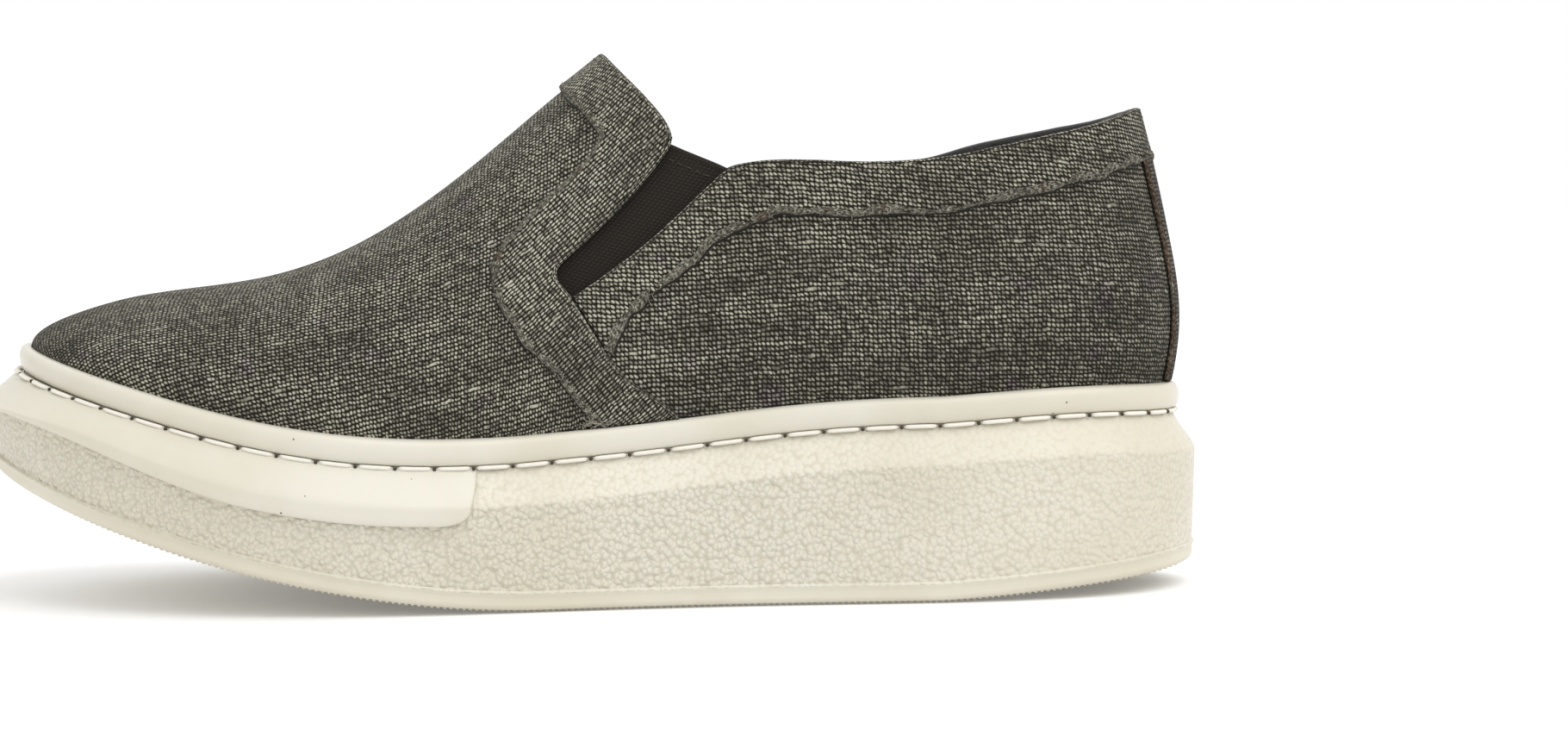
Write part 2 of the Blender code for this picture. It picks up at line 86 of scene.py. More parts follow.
# Sizes of the sole's pieces
PLATFORM = 0.046
TOE_SPRING = 0.0268
HEEL_SPRING = 0.0046
WELT_HEIGHT = 0.0063
WELT_BULGE = 0.0028
SOLE_FLARE = 0.0064
TOE_REACH = 0.0040
BEVEL_DROP = 0.0085
WALL_DRAFT = 0.0008
BUMPER_LENGTH = 0.1060
BUMPER_DROP = 0.0125
BUMPER_THICKNESS = 0.0012
BUMPER_CORNER = 0.0092
TOE_NARROWING = 0.60
OUTSOLE_THICKNESS = 0.0042
OUTSOLE_ROUNDING = 0.0020
INSOLE_THICKNESS = 0.003
GAP = 0.0003

# Half widths of the outline, as shares of the width there, by share of length from the heel
OUTLINE = (
    # share, lateral, medial
    (0.02, 0.220, 0.220),
    (0.05, 0.333, 0.333),
    (0.10, 0.424, 0.424),
    (0.20, 0.492, 0.492),
    (0.30, 0.508, 0.485),
    (0.40, 0.486, 0.424),
    (0.50, 0.459, 0.382),
    (0.60, 0.469, 0.409),
    (0.68, 0.500, 0.467),
    (0.74, 0.505, 0.495),
    (0.80, 0.484, 0.489),
    (0.86, 0.424, 0.457),
    (0.91, 0.348, 0.397),
    (0.95, 0.255, 0.321),
    (0.98, 0.147, 0.212),
)
TOE_TIP = 0.033
WAIST_REAR = 0.30
WAIST_FRONT = 0.62
TOE_START = 0.5
HEEL_SWELL_START = 0.2

# Height of the welt's top over the tread, as a share of the platform
THICKNESS = (
    # share, thickness
    (0.00, 0.916),
    (0.06, 0.965),
    (0.20, 0.998),
    (0.28, 0.986),
    (0.35, 0.956),
    (0.42, 0.913),
    (0.49, 0.875),
    (0.56, 0.845),
    (0.64, 0.803),
    (0.71, 0.769),
    (0.78, 0.749),
    (0.86, 0.735),
    (0.94, 0.710),
    (1.00, 0.681),
)
NARROWING_START = 0.78
FLAT_REAR = 0.205
FLAT_FRONT = 0.55
HEEL_SPRING_POWER = 1.25
TOE_SPRING_POWER = 1.68

# Height of the ridge over the welt, as a share of the instep, and the roundness of the arch there
RIDGE = (
    # share, height, roundness
    (0.00, 1.240, 2.20),
    (0.20, 1.250, 2.30),
    (0.30, 1.235, 2.25),
    (0.37, 1.196, 2.15),
    (0.43, 1.120, 2.05),
    (0.49, 0.995, 2.00),
    (0.55, 0.860, 2.00),
    (0.61, 0.711, 2.05),
    (0.67, 0.570, 2.10),
    (0.73, 0.449, 2.20),
    (0.80, 0.341, 2.20),
    (0.88, 0.246, 2.15),
    (0.95, 0.156, 2.05),
    (1.00, 0.098, 2.00),
)

# The collar's edge over the welt, as a share of its height at the heel
COLLAR = (
    # share, height
    (-0.05, 1.020),
    (0.025, 1.000),
    (0.052, 0.957),
    (0.122, 0.890),
    (0.196, 0.847),
    (0.269, 0.840),
    (0.342, 0.871),
    (0.370, 0.871),
    (0.388, 0.860),
)

# The throat's edge from the ridge to its lower corner: shares of length and of the instep
THROAT = (
    # share, height
    (0.520, 1.100),
    (0.492, 1.000),
    (0.472, 0.933),
    (0.452, 0.864),
    (0.437, 0.803),
    (0.4295, 0.757),
)

# The gore's two edges along its own axis, and the facing beside it: shares of their sizes
GORE_FOOT = (0.5246, 0.383)
GORE_SLOPE = math.radians(43.0)
GORE_EDGES = (
    # along, front, rear, facing
    (0.00, 0.28, -0.30, 1.22),
    (0.19, 0.27, -0.40, 1.00),
    (0.42, 0.25, -0.50, 1.00),
    (0.60, 0.29, -0.53, 1.00),
    (0.79, 0.36, -0.53, 1.00),
    (0.93, 0.45, -0.53, 1.00),
    (1.15, 0.60, -0.55, 1.00),
)
GORE_TOP = 0.985
GORE_TOP_SLANT = 0.125
GORE_TUCK = -0.12
GORE_FOOT_EDGES = (-0.7, 0.6)

# The facing's rear edge below the gore, down to the welt: shares of length, instep and width
FACING_LEG = (
    # share, height, facing
    (0.486, 0.192, 0.90),
    (0.472, 0.122, 0.92),
    (0.453, 0.078, 0.95),
    (0.424, 0.000, 1.00),
    (0.414, -0.050, 1.00),
)
FACING_FOOT = 1.2
BINDING_GORE_SHARE = 0.82
MEDIAL_FALL = 0.015
CORNER_SHARE = 0.94

# The platform's bevel under the groove: shares of the flare and of the bevel's drop
BEVEL = (
    # out, drop
    (0.16, 0.00),
    (0.38, 0.35),
    (0.78, 0.73),
    (1.00, 1.00),
    (1.00, 1.16),
)

# How finely the surfaces are divided
STATIONS = 400
ARCH_ROWS = 72
COLLAR_POINTS = 60
SMALL_TURN = 0.02

# Where the upper's rear end lies, a height over everything, and millimetres in a metre
X_HEEL = (UPPER_LENGTH + TOE_REACH + 2 * GAP + BUMPER_THICKNESS) / 2
OVERHEAD = 0.2
MM = 1000.0


def unit(vectors):
    """The vectors, each made one long."""
    return vectors / np.linalg.norm(vectors, axis=-1, keepdims=True)


def spline(rows):
    """A smooth curve through rows of (place, value), for numbers and arrays."""
    place = np.array([row[0] for row in rows])
    value = np.array([row[1] for row in rows])
    step = np.diff(place)
    count = len(place)
    system = np.eye(count)
    right = np.zeros(count)
    for i in range(1, count - 1):
        system[i, i - 1 : i + 2] = step[i - 1], 2 * (step[i - 1] + step[i]), step[i]
        right[i] = 6 * ((value[i + 1] - value[i]) / step[i] - (value[i] - value[i - 1]) / step[i - 1])
    bend = np.linalg.solve(system, right)

    def curve(at):
        at = np.asarray(at, float)
        i = np.clip(np.searchsorted(place, at) - 1, 0, count - 2)
        a = (place[i + 1] - at) / step[i]
        b = 1 - a
        bow = ((a**3 - a) * bend[i] + (b**3 - b) * bend[i + 1]) * step[i] ** 2 / 6
        return a * value[i] + b * value[i + 1] + bow

    return curve


def ease(share):
    """A smooth step from 0 to 1."""
    share = np.clip(share, 0.0, 1.0)
    return share * share * (3 - 2 * share)


def closed_rows():
    """The outline's y by angle: heel, lateral side, toe, medial side, with a few rows repeated."""
    lateral = []
    medial = []
    for share, out, inward in OUTLINE:
        waist = float(ease((share - WAIST_REAR) / (WAIST_FRONT - WAIST_REAR)))
        width = HEEL_WIDTH + (BALL_WIDTH - HEEL_WIDTH) * waist
        angle = math.acos(1 - 2 * share)
        lateral.append((angle, -out * width))
        medial.append((2 * math.pi - angle, inward * width))
    rows = [(0.0, 0.0)] + lateral + [(math.pi, TOE_TIP * BALL_WIDTH)] + medial[::-1]
    before = [(angle - 2 * math.pi, y) for angle, y in rows[-4:]]
    after = [(angle + 2 * math.pi, y) for angle, y in rows[:4]]
    return before + rows + after


outline_y = spline(closed_rows())
thickness_at = spline(THICKNESS)
ridge_at = spline([row[:2] for row in RIDGE])
roundness_at = spline([(row[0], row[2]) for row in RIDGE])
collar_at = spline(COLLAR)
PLAN_ANGLES = np.linspace(0.0, 2 * math.pi, 72, endpoint=False)
MIDDLE_Y = float(outline_y(PLAN_ANGLES).max() + outline_y(PLAN_ANGLES).min()) / 2


def outline(angle, out=0.0):
    """Points of the last's outline in plan, moved outward by a distance."""
    x = X_HEEL - UPPER_LENGTH * (1 - np.cos(angle)) / 2
    y = outline_y(angle) - MIDDLE_Y
    small = 1e-4
    along_x = -UPPER_LENGTH * np.sin(angle) / 2
    along_y = (outline_y(angle + small) - outline_y(angle - small)) / (2 * small)
    length = np.hypot(along_x, along_y)
    return x - along_y / length * out, y + along_x / length * out


def sole_outline(angle, out):
    """Points outside the outline in plan, further out round the toe, where the sole reaches on."""
    toe = ease((-np.cos(angle) - TOE_START) / (1 - TOE_START))
    return outline(angle, out + TOE_REACH * toe * np.minimum(out / SOLE_FLARE, 1.0))


def share_of(x):
    return (X_HEEL - x) / UPPER_LENGTH


def tread(x):
    """Height of the sole's underside: flat under heel and forefoot, rising to heel and toe."""
    share = share_of(np.asarray(x, float))
    rear = np.clip((FLAT_REAR - share) / FLAT_REAR, 0, None)
    front = np.clip((share - FLAT_FRONT) / (1 - FLAT_FRONT), 0, None)
    return HEEL_SPRING * rear**HEEL_SPRING_POWER + TOE_SPRING * front**TOE_SPRING_POWER


def welt_top(x):
    return tread(x) + PLATFORM * thickness_at(share_of(x))


def groove(x):
    """Height of the stitched groove, where the platform ends and the welt begins."""
    return welt_top(x) - WELT_HEIGHT


def bulge(angle, height):
    """How far the upper swells past the outline, most at the back of the heel."""
    heel = ease((np.cos(angle) - HEEL_SWELL_START) / (1 - HEEL_SWELL_START))
    toe = ease((-np.cos(angle) - TOE_START) / (1 - TOE_START))
    size = HEEL_BULGE * heel + SIDE_BULGE * (1 - heel) * (1 - toe)
    rise = height / BULGE_RISE
    return size * rise * np.exp((1 - rise * rise) / 2)


def last_point(angle, turn):
    """Points of the upper's outer face: turn is 0 at the welt and a quarter turn at the ridge."""
    x0, y0 = outline(angle)
    across = (1 - np.cos(angle)) / 2
    ridge_x = X_HEEL - HEEL_ROUNDING - (UPPER_LENGTH - HEEL_ROUNDING - TOE_ROUNDING) * across
    power = 2 / roundness_at(share_of(x0))
    inward = 1 - np.maximum(np.cos(turn), 0.0) ** power
    rise = np.maximum(np.sin(turn), 0.0) ** power
    x = x0 + (ridge_x - x0) * inward
    y = y0 + (RIDGE_OFFSET - y0) * inward
    height = INSTEP_HEIGHT * ridge_at(share_of(x))
    base = welt_top(x0)
    top = welt_top(x) + height
    z = base + (top - base) * rise
    swell_x, swell_y = outline(angle, bulge(angle, z - base))
    return np.stack((x + swell_x - x0, y + swell_y - y0, z), axis=-1)


def last_normal(angle, turn):
    """The outward direction of the upper's face, from its neighbours."""
    small = SMALL_TURN
    turn = np.clip(turn, small, math.pi / 2 - small)
    along = last_point(angle + small, turn) - last_point(angle - small, turn)
    up = last_point(angle, turn + small) - last_point(angle, turn - small)
    return unit(np.cross(up, along))


def side(share, height):
    """A side view point from a share of length and a height over the welt, a share of the instep."""
    x = X_HEEL - share * UPPER_LENGTH
    return x, float(welt_top(x)) + height * INSTEP_HEIGHT


def distance_to(points, path):
    """The distance from points (x, z) to a path of straight runs."""
    points = np.asarray(points, float).reshape(-1, 2)
    found = np.full(len(points), np.inf)
    for start, end in zip(np.array(path[:-1]), np.array(path[1:])):
        run = end - start
        along = np.clip((points - start) @ run / max(run @ run, 1e-12), 0, 1)
        found = np.minimum(found, np.linalg.norm(points - start - along[:, None] * run, axis=1))
    return found


def shifted(path, distance, widths=None):
    """A side view path moved sideways, to the left of the way it runs, without its tight corners."""
    moved = []
    widths = widths or [1.0] * len(path)
    for i, (x, z) in enumerate(path):
        reach = distance * widths[i]
        before = path[max(i - 1, 0)]
        after = path[min(i + 1, len(path) - 1)]
        run, climb = after[0] - before[0], after[1] - before[1]
        length = math.hypot(run, climb)
        point = (x - climb / length * reach, z + run / length * reach)
        if distance_to(point, path)[0] > CORNER_SHARE * abs(reach):
            moved.append(point)
    return moved


def gore_point(along, across):
    """A side view point in the gore's own frame, in metres from the middle of its lower end."""
    x, z = side(*GORE_FOOT)
    cosine, sine = math.cos(GORE_SLOPE), math.sin(GORE_SLOPE)
    return x + along * cosine - across * sine, z + along * sine + across * cosine


def gore_edge(column):
    """One edge of the gore's slot from its foot to above its top."""
    return [gore_point(row[0] * GORE_LENGTH, row[column] * GORE_WIDTH) for row in GORE_EDGES]


def collar_z(x):
    return welt_top(x) + collar_at(share_of(x)) * COLLAR_HEIGHT


def collar_edge(drop):
    """The collar's edge from the gore to past the heel, lowered by a distance."""
    shares = np.linspace(COLLAR[-1][0], COLLAR[0][0], COLLAR_POINTS)
    return [(x, float(collar_z(x)) - drop) for x in X_HEEL - shares * UPPER_LENGTH]


def throat_edge():
    return [side(share, height) for share, height in THROAT]


def facing_rear():
    """The facing's rear edge: down the throat, down the gore's front edge and on to the welt."""
    front = gore_edge(1)[:-1][::-1]
    foot = gore_edge(2)[0]
    leg = [side(row[0], row[1]) for row in FACING_LEG]
    return throat_edge() + front + [foot] + leg


def facing_front():
    """The facing's front edge, a band's width from its rear edge."""
    front = [row[3] for row in GORE_EDGES][:-1][::-1]
    widths = [1.0] * len(THROAT) + front + [FACING_FOOT] + [row[2] for row in FACING_LEG]
    return shifted(facing_rear(), -FACING_WIDTH, widths)


# How the folded and cut edges of the cloth are rounded
ROLL = 0.0008
BAND_OUT = GAP + BAND_THICKNESS
BAND_MIDDLE = GAP + BAND_THICKNESS / 2
FOLD_HALF = (UPPER_WALL + BAND_OUT) / 2
FOLD = (BAND_OUT - FOLD_HALF, FOLD_HALF, ROLL)
FOLD_ROUGH = 0.05
EDGE_SWAY = 0.0006
EDGE_ROUGH = 0.22
# The dark tube under a turned edge is painted shadow: its half thickness and its extra half width
PAINTED_SHADOW_LINE = (0.00035, 0.00040)
FACING_EDGE = (0.00070, 0.00095)
BINDING_EDGE = (0.00080, 0.00110)
STRIP_EDGE = (0.62 * BAND_THICKNESS, 0.0007)
STRIP_ROUGH = 0.16
HEM_SIZE = (0.0008, 0.0009)
HEM_ROUGH = 0.04
HEM_STITCH_DROP = 0.0026

# The lift near a band's turned edge: its width, its height and the seed of its waves
FACING_LIFT = (0.0022, 0.00022, 4)
BINDING_LIFT = (0.0026, 0.0003, 5)
LIFT_WAVES = (900, 1300)
LIFT_WAVINESS = 0.35

# How paths on the cloth are divided, and the threads and stitches along them
PATH_STEP = 0.0008
BRIDGE_STEPS = 14
BRIDGE_HALVINGS = 24
COLLAR_HALVINGS = 30
HEEL_TURNS = np.linspace(1.05, -1.05, 170)
TUBE_SIDES = 12
THREAD_SIDES = 5
THREAD_ACROSS = (0.31, 0.52, 0.79)
THREAD_END = 0.55
FRAY_REACH = 0.0010
FRAY_RADIUS = 0.00006
FRAY_SPACING = 0.00035
FRAY_SCATTER = 0.0003
TOPSTITCH = (0.0016, 0.0007)
TOPSTITCH_RADIUS = 0.00013
TOPSTITCH_INSET = 0.0025
TOPSTITCH_SINK = 0.0003 * np.array((1.0, 0.1, 0.0, 0.1, 1.0))
TUFT_RUN = (0.0010, 0.0090)
TUFT_RISE = 0.0012
TUFT_SPACING = 0.00022
TUFT_REACH = 0.0022
TUFT_RADIUS = 0.00009

# How the medial side's throat, gore and collar differ from the lateral side's
MEDIAL_SKEW = 0.06
SKEW_FADE = (0.030, 0.065)
FAR_COLLAR = (0.078, 0.111)
FAR_FADE = 0.016
FAR_RISE = 0.046

# The weave: distance between threads along and across each piece, in millimetres, and its lean
CANVAS_PITCH = (1.00, 1.06)
FACING_PITCH = (1.20, 0.76)
BINDING_PITCH = (1.02, 1.00)
VAMP_LEAN = 0.25
QUARTER_LEAN = -0.05
BINDING_LEAN = -0.12
FACING_TURN = math.radians(36)

# Soft troughs and ridges in the cloth, pressed along the last's normal: a rise below 0 is a trough
CREASES = (
    # side, x, z, half length, half width, turn from upright in degrees, rise
    (-1, 0.066, 0.086, 0.016, 0.0060, 12, -0.00050),
    (-1, 0.079, 0.080, 0.015, 0.0060, 6, 0.00035),
    (-1, 0.099, 0.084, 0.018, 0.0070, -10, -0.00045),
    (-1, 0.044, 0.066, 0.012, 0.0050, 30, -0.00035),
    (-1, -0.030, 0.063, 0.016, 0.0050, 48, -0.00040),
    (-1, -0.044, 0.058, 0.015, 0.0050, 54, 0.00030),
    (-1, -0.078, 0.058, 0.013, 0.0070, 62, -0.00025),
    (1, 0.070, 0.084, 0.016, 0.0060, 8, -0.00050),
    (1, 0.096, 0.082, 0.018, 0.0070, -8, -0.00040),
    (1, -0.034, 0.062, 0.016, 0.0055, 50, -0.00040),
    (1, -0.070, 0.058, 0.014, 0.0070, 60, -0.00025),
)
CREASE_SIDE_FADE = 0.012


def run_along(points):
    """How far along a path each of its points lies."""
    return np.concatenate(((0.0,), np.cumsum(np.linalg.norm(np.diff(points, axis=0), axis=1))))


def sampled(at, run, rows):
    """Rows of numbers looked up at places along a run."""
    return np.stack([np.interp(at, run, column) for column in np.transpose(rows)], axis=1)


def circle(sides):
    """Even turns round a circle."""
    return [2 * math.pi * k / sides for k in range(sides)]


def rod_faces(rows, size, start=0):
    """The faces of a closed rod of numbered points: its sides ring by ring, then both ends."""
    last = start + (rows - 1) * size
    faces = []
    for low in range(start, last, size):
        for k in range(size):
            k2 = (k + 1) % size
            faces.append((low + k, low + k2, low + size + k2, low + size + k))
    return faces + [tuple(range(end, end + size)) for end in (start, last)]


def add_rod(points, faces, rings):
    """Adds a closed rod, given as rings of points, to a piece's points and faces."""
    faces += rod_faces(len(rings), len(rings[0]), len(points))
    for row in rings:
        points.extend(row)


def mesh_object(name, points, faces, materials=(), maps=None, smooth=True, closed=True):
    """An object from points and faces, turned outward if closed.

    The named maps give each face corner a place in millimetres."""
    mesh = bpy.data.meshes.new(name)
    mesh.from_pydata(np.asarray(points, float).tolist(), [], faces)
    mesh.update()
    for map_name, corners in (maps or {}).items():
        layer = mesh.uv_layers.new(name=map_name)
        layer.data.foreach_set("uv", np.asarray(corners, np.float32).ravel())
    if smooth:
        mesh.shade_smooth()
    for material in materials:
        mesh.materials.append(material)
    if closed:
        work = bmesh.new()
        work.from_mesh(mesh)
        bmesh.ops.recalc_face_normals(work, faces=work.faces)
        work.to_mesh(mesh)
        work.free()
    made = bpy.data.objects.new(name, mesh)
    bpy.context.scene.collection.objects.link(made)
    return made


def read(elements, what, size, kind=np.float32):
    """One property of every element of a mesh, as rows."""
    data = np.empty(len(elements) * size, kind)
    elements.foreach_get(what, data)
    return data.reshape(-1, size)


def creases(points):
    """How far the soft creases move each point of the last."""
    total = np.zeros(points.shape[:-1])
    for side_of, x, z, length, width, turn, rise in CREASES:
        run = points[..., 0] - x
        height = points[..., 2] - z
        cosine, sine = math.cos(math.radians(turn)), math.sin(math.radians(turn))
        along = (height * cosine + run * sine) / length
        across = (run * cosine - height * sine) / width
        there = ease(side_of * (points[..., 1] - RIDGE_OFFSET) / CREASE_SIDE_FADE)
        total += rise * there * np.exp(-(along**2) - across**2)
    return total


def wrapped(values):
    """The rows with the first one repeated at the end."""
    return np.concatenate((values, values[:1]), axis=0)


class Form:
    """The last on a fine grid: angles round it, turns up each arch, and cloth distances on both."""

    def __init__(self):
        half = STATIONS // 2
        self.angles = np.linspace(0.0, 2 * math.pi, STATIONS, endpoint=False)
        angle, turn = np.meshgrid(self.angles, np.linspace(0.0, math.pi / 2, ARCH_ROWS + 1), indexing="ij")
        self.face = last_point(angle, turn)
        self.normal = last_normal(angle, turn)
        self.face = self.face + self.normal * creases(self.face)[..., None]
        steps = np.linalg.norm(np.diff(self.face, axis=1), axis=-1)
        self.rise = np.concatenate((np.zeros((STATIONS, 1)), np.cumsum(steps, axis=1)), axis=1)
        girth = self.rise[:, -1:]
        round_foot = run_along(wrapped(self.face[:, 0]))
        self.round_foot = np.where(np.arange(STATIONS + 1) > half, round_foot - round_foot[-1], round_foot)
        ridge = self.face[:, -1]
        ridge_run = run_along(ridge[: half + 1])
        ridge_place = np.concatenate((ridge_run, ridge_run[-2:0:-1]))
        plan = unit(self.face[:, 0, :2] - ridge[:, :2])
        down = girth - self.rise
        lean = VAMP_LEAN * (girth - girth[STATIONS // 4]) * ease(down / girth)
        along = -ridge_place[:, None] + down * plan[:, :1]
        self.vamp = np.stack((along, (down - lean) * plan[:, 1:]), axis=-1) * MM

    def maps(self, skirt):
        """Each map's place in mm for column i and row j, with the first column repeated at the end."""
        quarter = np.empty((STATIONS + 1, ARCH_ROWS + 1, 2))
        quarter[:, :, 0] = self.round_foot[:, None] * MM
        quarter[:, :, 1] = wrapped(self.rise) * MM
        found = {"vamp": wrapped(self.vamp), "quarter": quarter}
        if skirt:
            for key, drop in (("vamp", 0.0), ("quarter", WELT_HEIGHT * MM)):
                found[key] = np.concatenate((found[key][:, :1] - (0.0, drop), found[key]), axis=1)
        return found

    def sheet(self, distance, skirt):
        """The grid moved out from the last, with a flat foot, or a skirt down to the groove."""
        points = self.face + self.normal * distance
        x, y = outline(self.angles, distance)
        points[:, 0] = np.stack((x, y, welt_top(x) + GAP), axis=-1)
        if skirt:
            low = np.stack((x, y, groove(x) + GAP), axis=-1)
            points = np.concatenate((low[:, None], points), axis=1)
        return points


def shell(name, form, span, materials, skirt):
    """A closed shell between two distances from the last, with its maps, lined on the inside."""
    sheets = np.array([form.sheet(distance, skirt) for distance in span])
    _, n, count, _ = sheets.shape
    outer, inner = np.arange(2 * n * count).reshape(2, n, count)
    for number in (outer, inner):
        number[n // 2 + 1 :, -1] = number[1 : (n + 1) // 2, -1][::-1]
    outer, inner = wrapped(outer), wrapped(inner)
    quads = []
    for number, order in ((outer, 1), (inner, -1)):
        for i in range(n):
            for j in range(count - 1):
                around = ((i, j), (i + 1, j), (i + 1, j + 1), (i, j + 1))[::order]
                quads.append([(number, a, b) for a, b in around])
    for i in range(n):
        quads.append([(outer, i + 1, 0), (outer, i, 0), (inner, i, 0), (inner, i + 1, 0)])
    faces = [[int(number[a, b]) for number, a, b in quad] for quad in quads]
    corners = {}
    for key, place in form.maps(skirt).items():
        corners[key] = [place[a, b] for quad in quads for _, a, b in quad]
    piece = mesh_object(name, sheets.reshape(-1, 3), faces, materials, corners)
    inside = np.zeros(len(faces), np.int32)
    inside[n * (count - 1) : 2 * n * (count - 1)] = 1
    piece.data.polygons.foreach_set("material_index", inside)
    return piece


def fall(x, y):
    """How far under the lateral side's height the medial side's cuts lie, less behind the gores."""
    behind = ease((x - FAR_COLLAR[0]) / FAR_FADE) * (1 - ease((x - FAR_COLLAR[1]) / FAR_FADE))
    return y * MEDIAL_FALL - np.maximum(y, 0) * FAR_RISE * behind


def skew(x, y):
    """How far forward of the lateral side's the medial side's throat and gore lie."""
    return MEDIAL_SKEW * np.maximum(y, 0) * (1 - ease((x - SKEW_FADE[0]) / (SKEW_FADE[1] - SKEW_FADE[0])))


def prism(name, points, low_y=-BALL_WIDTH, high_y=BALL_WIDTH):
    """A cutter: a side view outline of (x, z) points, drawn out along Y and a little downward."""
    levels = [low_y, 0.0, high_y] if low_y < 0 < high_y else [low_y, high_y]
    places = [(x - float(skew(x, y)), y, z - float(fall(x, y))) for y in levels for x, z in points]
    return mesh_object(name, places, rod_faces(len(levels), len(points)), smooth=False)


def carve(piece, steps):
    """Cuts a piece with (operation, cutter) steps, keeps the result as its mesh, drops the cutters."""
    for operation, cutter in steps:
        modifier = piece.modifiers.new(cutter.name, "BOOLEAN")
        modifier.object = cutter
        modifier.operation = operation
        modifier.solver = "MANIFOLD"
    graph = bpy.context.evaluated_depsgraph_get()
    made = bpy.data.meshes.new_from_object(piece.evaluated_get(graph))
    piece.modifiers.clear()
    piece.data = made
    for _, cutter in steps:
        bpy.data.objects.remove(cutter, do_unlink=True)


def rounded(path, times=3):
    """A path with its corners cut off, a little more each time, and its ends kept."""
    path = [np.array(point, float) for point in path]
    for _ in range(times):
        cut = [path[0]]
        for a, b in zip(path, path[1:]):
            cut.extend((a * 0.75 + b * 0.25, a * 0.25 + b * 0.75))
        path = cut + [path[-1]]
    return path


def resampled(path):
    """The path in equal steps."""
    run = run_along(np.array(path, float))
    count = max(int(run[-1] / PATH_STEP), 2)
    return sampled(np.linspace(0.0, run[-1], count + 1), run, path)


class Caster:
    """Finds where side view points lie on the last's face."""

    def __init__(self, form):
        columns = ARCH_ROWS + 1
        faces = []
        for i in range(STATIONS):
            a, b = i * columns, (i + 1) % STATIONS * columns
            faces += [(a + j, b + j, b + j + 1, a + j + 1) for j in range(ARCH_ROWS)]
        self.tree = BVHTree.FromPolygons([Vector(point) for point in form.face.reshape(-1, 3)], faces)

    def cast(self, start, direction):
        """The face point and outward normal that a ray meets, or None."""
        place, normal, _, _ = self.tree.ray_cast(Vector(start), Vector(direction))
        if place is None:
            return None
        if normal.dot(Vector(direction)) >= 0:
            normal = -normal
        return np.array(place), np.array(normal)

    def hit(self, x, z, sign):
        """The face point and normal at a side view point: sign is -1 for the lateral side."""
        y = sign * BALL_WIDTH / 3
        found = None
        for _ in range(3):
            start = (x - float(skew(x, y)), sign * OVERHEAD, z - float(fall(x, y)))
            found = self.cast(start, (0.0, -sign, 0.0))
            if found is None:
                return None
            y = found[0][1]
        return found

    def side_path(self, path, sign):
        """A side view path laid on one side: rows of point and normal, where it meets the face."""
        found = [self.hit(x, z, sign) for x, z in resampled(path)]
        return [pair for pair in found if pair is not None]

    def over(self, path):
        """A side view path that starts above the ridge, laid from the lateral side to the medial."""
        path = resampled(path)
        lateral, medial = self.side_path(path, -1), self.side_path(path, 1)
        bridge = []
        for y in np.linspace(lateral[0][0][1], medial[0][0][1], BRIDGE_STEPS + 1)[1:-1]:
            low, high = 0.0, 0.5
            for _ in range(BRIDGE_HALVINGS):
                middle = (low + high) / 2
                x, z = self.at(path, middle)
                pair = self.cast((x - float(skew(x, y)), y, OVERHEAD), (0.0, 0.0, -1.0))
                if pair[0][2] > z - float(fall(x, y)):
                    high = middle
                else:
                    low = middle
            bridge.append(pair)
        return lateral[::-1] + bridge + medial

    @staticmethod
    def at(path, share):
        place = share * (len(path) - 1)
        i = min(int(place), len(path) - 2)
        return path[i] + (path[i + 1] - path[i]) * (place - i)

    def round_heel(self, path, drop):
        """A side view path laid on the lateral side, round the heel at a drop from the collar, and back."""
        middle = column_path(np.mod(HEEL_TURNS, 2 * math.pi), drop)
        sides = []
        for sign, end in ((-1, middle[0]), (1, middle[-1])):
            laid = self.side_path(path, sign)
            sides.append([pair for pair in laid if pair[0][0] < end[0][0] - PATH_STEP])
        return sides[0] + middle + sides[1][::-1]


def column_path(angles, drop):
    """The collar's edge round the heel, lowered by a distance: where each arch column crosses it."""
    low = np.zeros(len(angles))
    high = np.full(len(angles), math.pi / 2)
    for _ in range(COLLAR_HALVINGS):
        middle = (low + high) / 2
        x, y, z = np.moveaxis(last_point(angles, middle), -1, 0)
        above = z > collar_z(x) - drop - fall(x, y)
        high = np.where(above, middle, high)
        low = np.where(above, low, middle)
    return list(zip(last_point(angles, middle), last_normal(angles, middle)))


def smoothed(values, times=2):
    for _ in range(times):
        inner = (values[:-2] + 2 * values[1:-1] + values[2:]) / 4
        values = np.concatenate((values[:1], inner, values[-1:]))
    return values


def tube(name, pairs, size, materials, rough, seed, sway=0.0):
    """A rounded edge along a path on the face.

    Its size is its middle's place along the normal, then its half sizes along the normal and in the
    face. Rough adds soft lumps along it, as a share of its size, and sway makes it wander."""
    shift, thick, wide = size
    points, normals = np.swapaxes(pairs, 0, 1)
    points = smoothed(points)
    normals = unit(smoothed(normals, 6))
    across = unit(np.cross(unit(np.gradient(points, axis=0)), normals))
    draw = np.random.default_rng(seed)
    swell = 1 + rough * smoothed(draw.normal(0, 1, len(points)), 3)
    points = points + across * (sway * smoothed(draw.normal(0, 1, len(points)), 6))[:, None]
    rings = []
    for turn in circle(TUBE_SIDES):
        outward = normals * (shift + thick * swell * math.cos(turn))[:, None]
        rings.append(points + outward + across * (wide * swell * math.sin(turn))[:, None])
    run = run_along(points) * MM
    round_it = np.linspace(0.0, math.pi * (thick + wide) * MM, TUBE_SIDES + 1)
    corners = []
    for here, ahead in zip(run, run[1:]):
        for low, high in zip(round_it, round_it[1:]):
            corners.extend(((here, low), (here, high), (ahead, high), (ahead, low)))
    corners.extend([(0.0, 0.0)] * 2 * TUBE_SIDES)
    faces = rod_faces(len(points), TUBE_SIDES)
    return mesh_object(name, np.stack(rings, axis=1).reshape(-1, 3), faces, materials, {"weave": corners})


def leaned(quarter, lean):
    return np.stack((quarter[:, 0], quarter[:, 1] + lean * np.abs(quarter[:, 0])), axis=1)


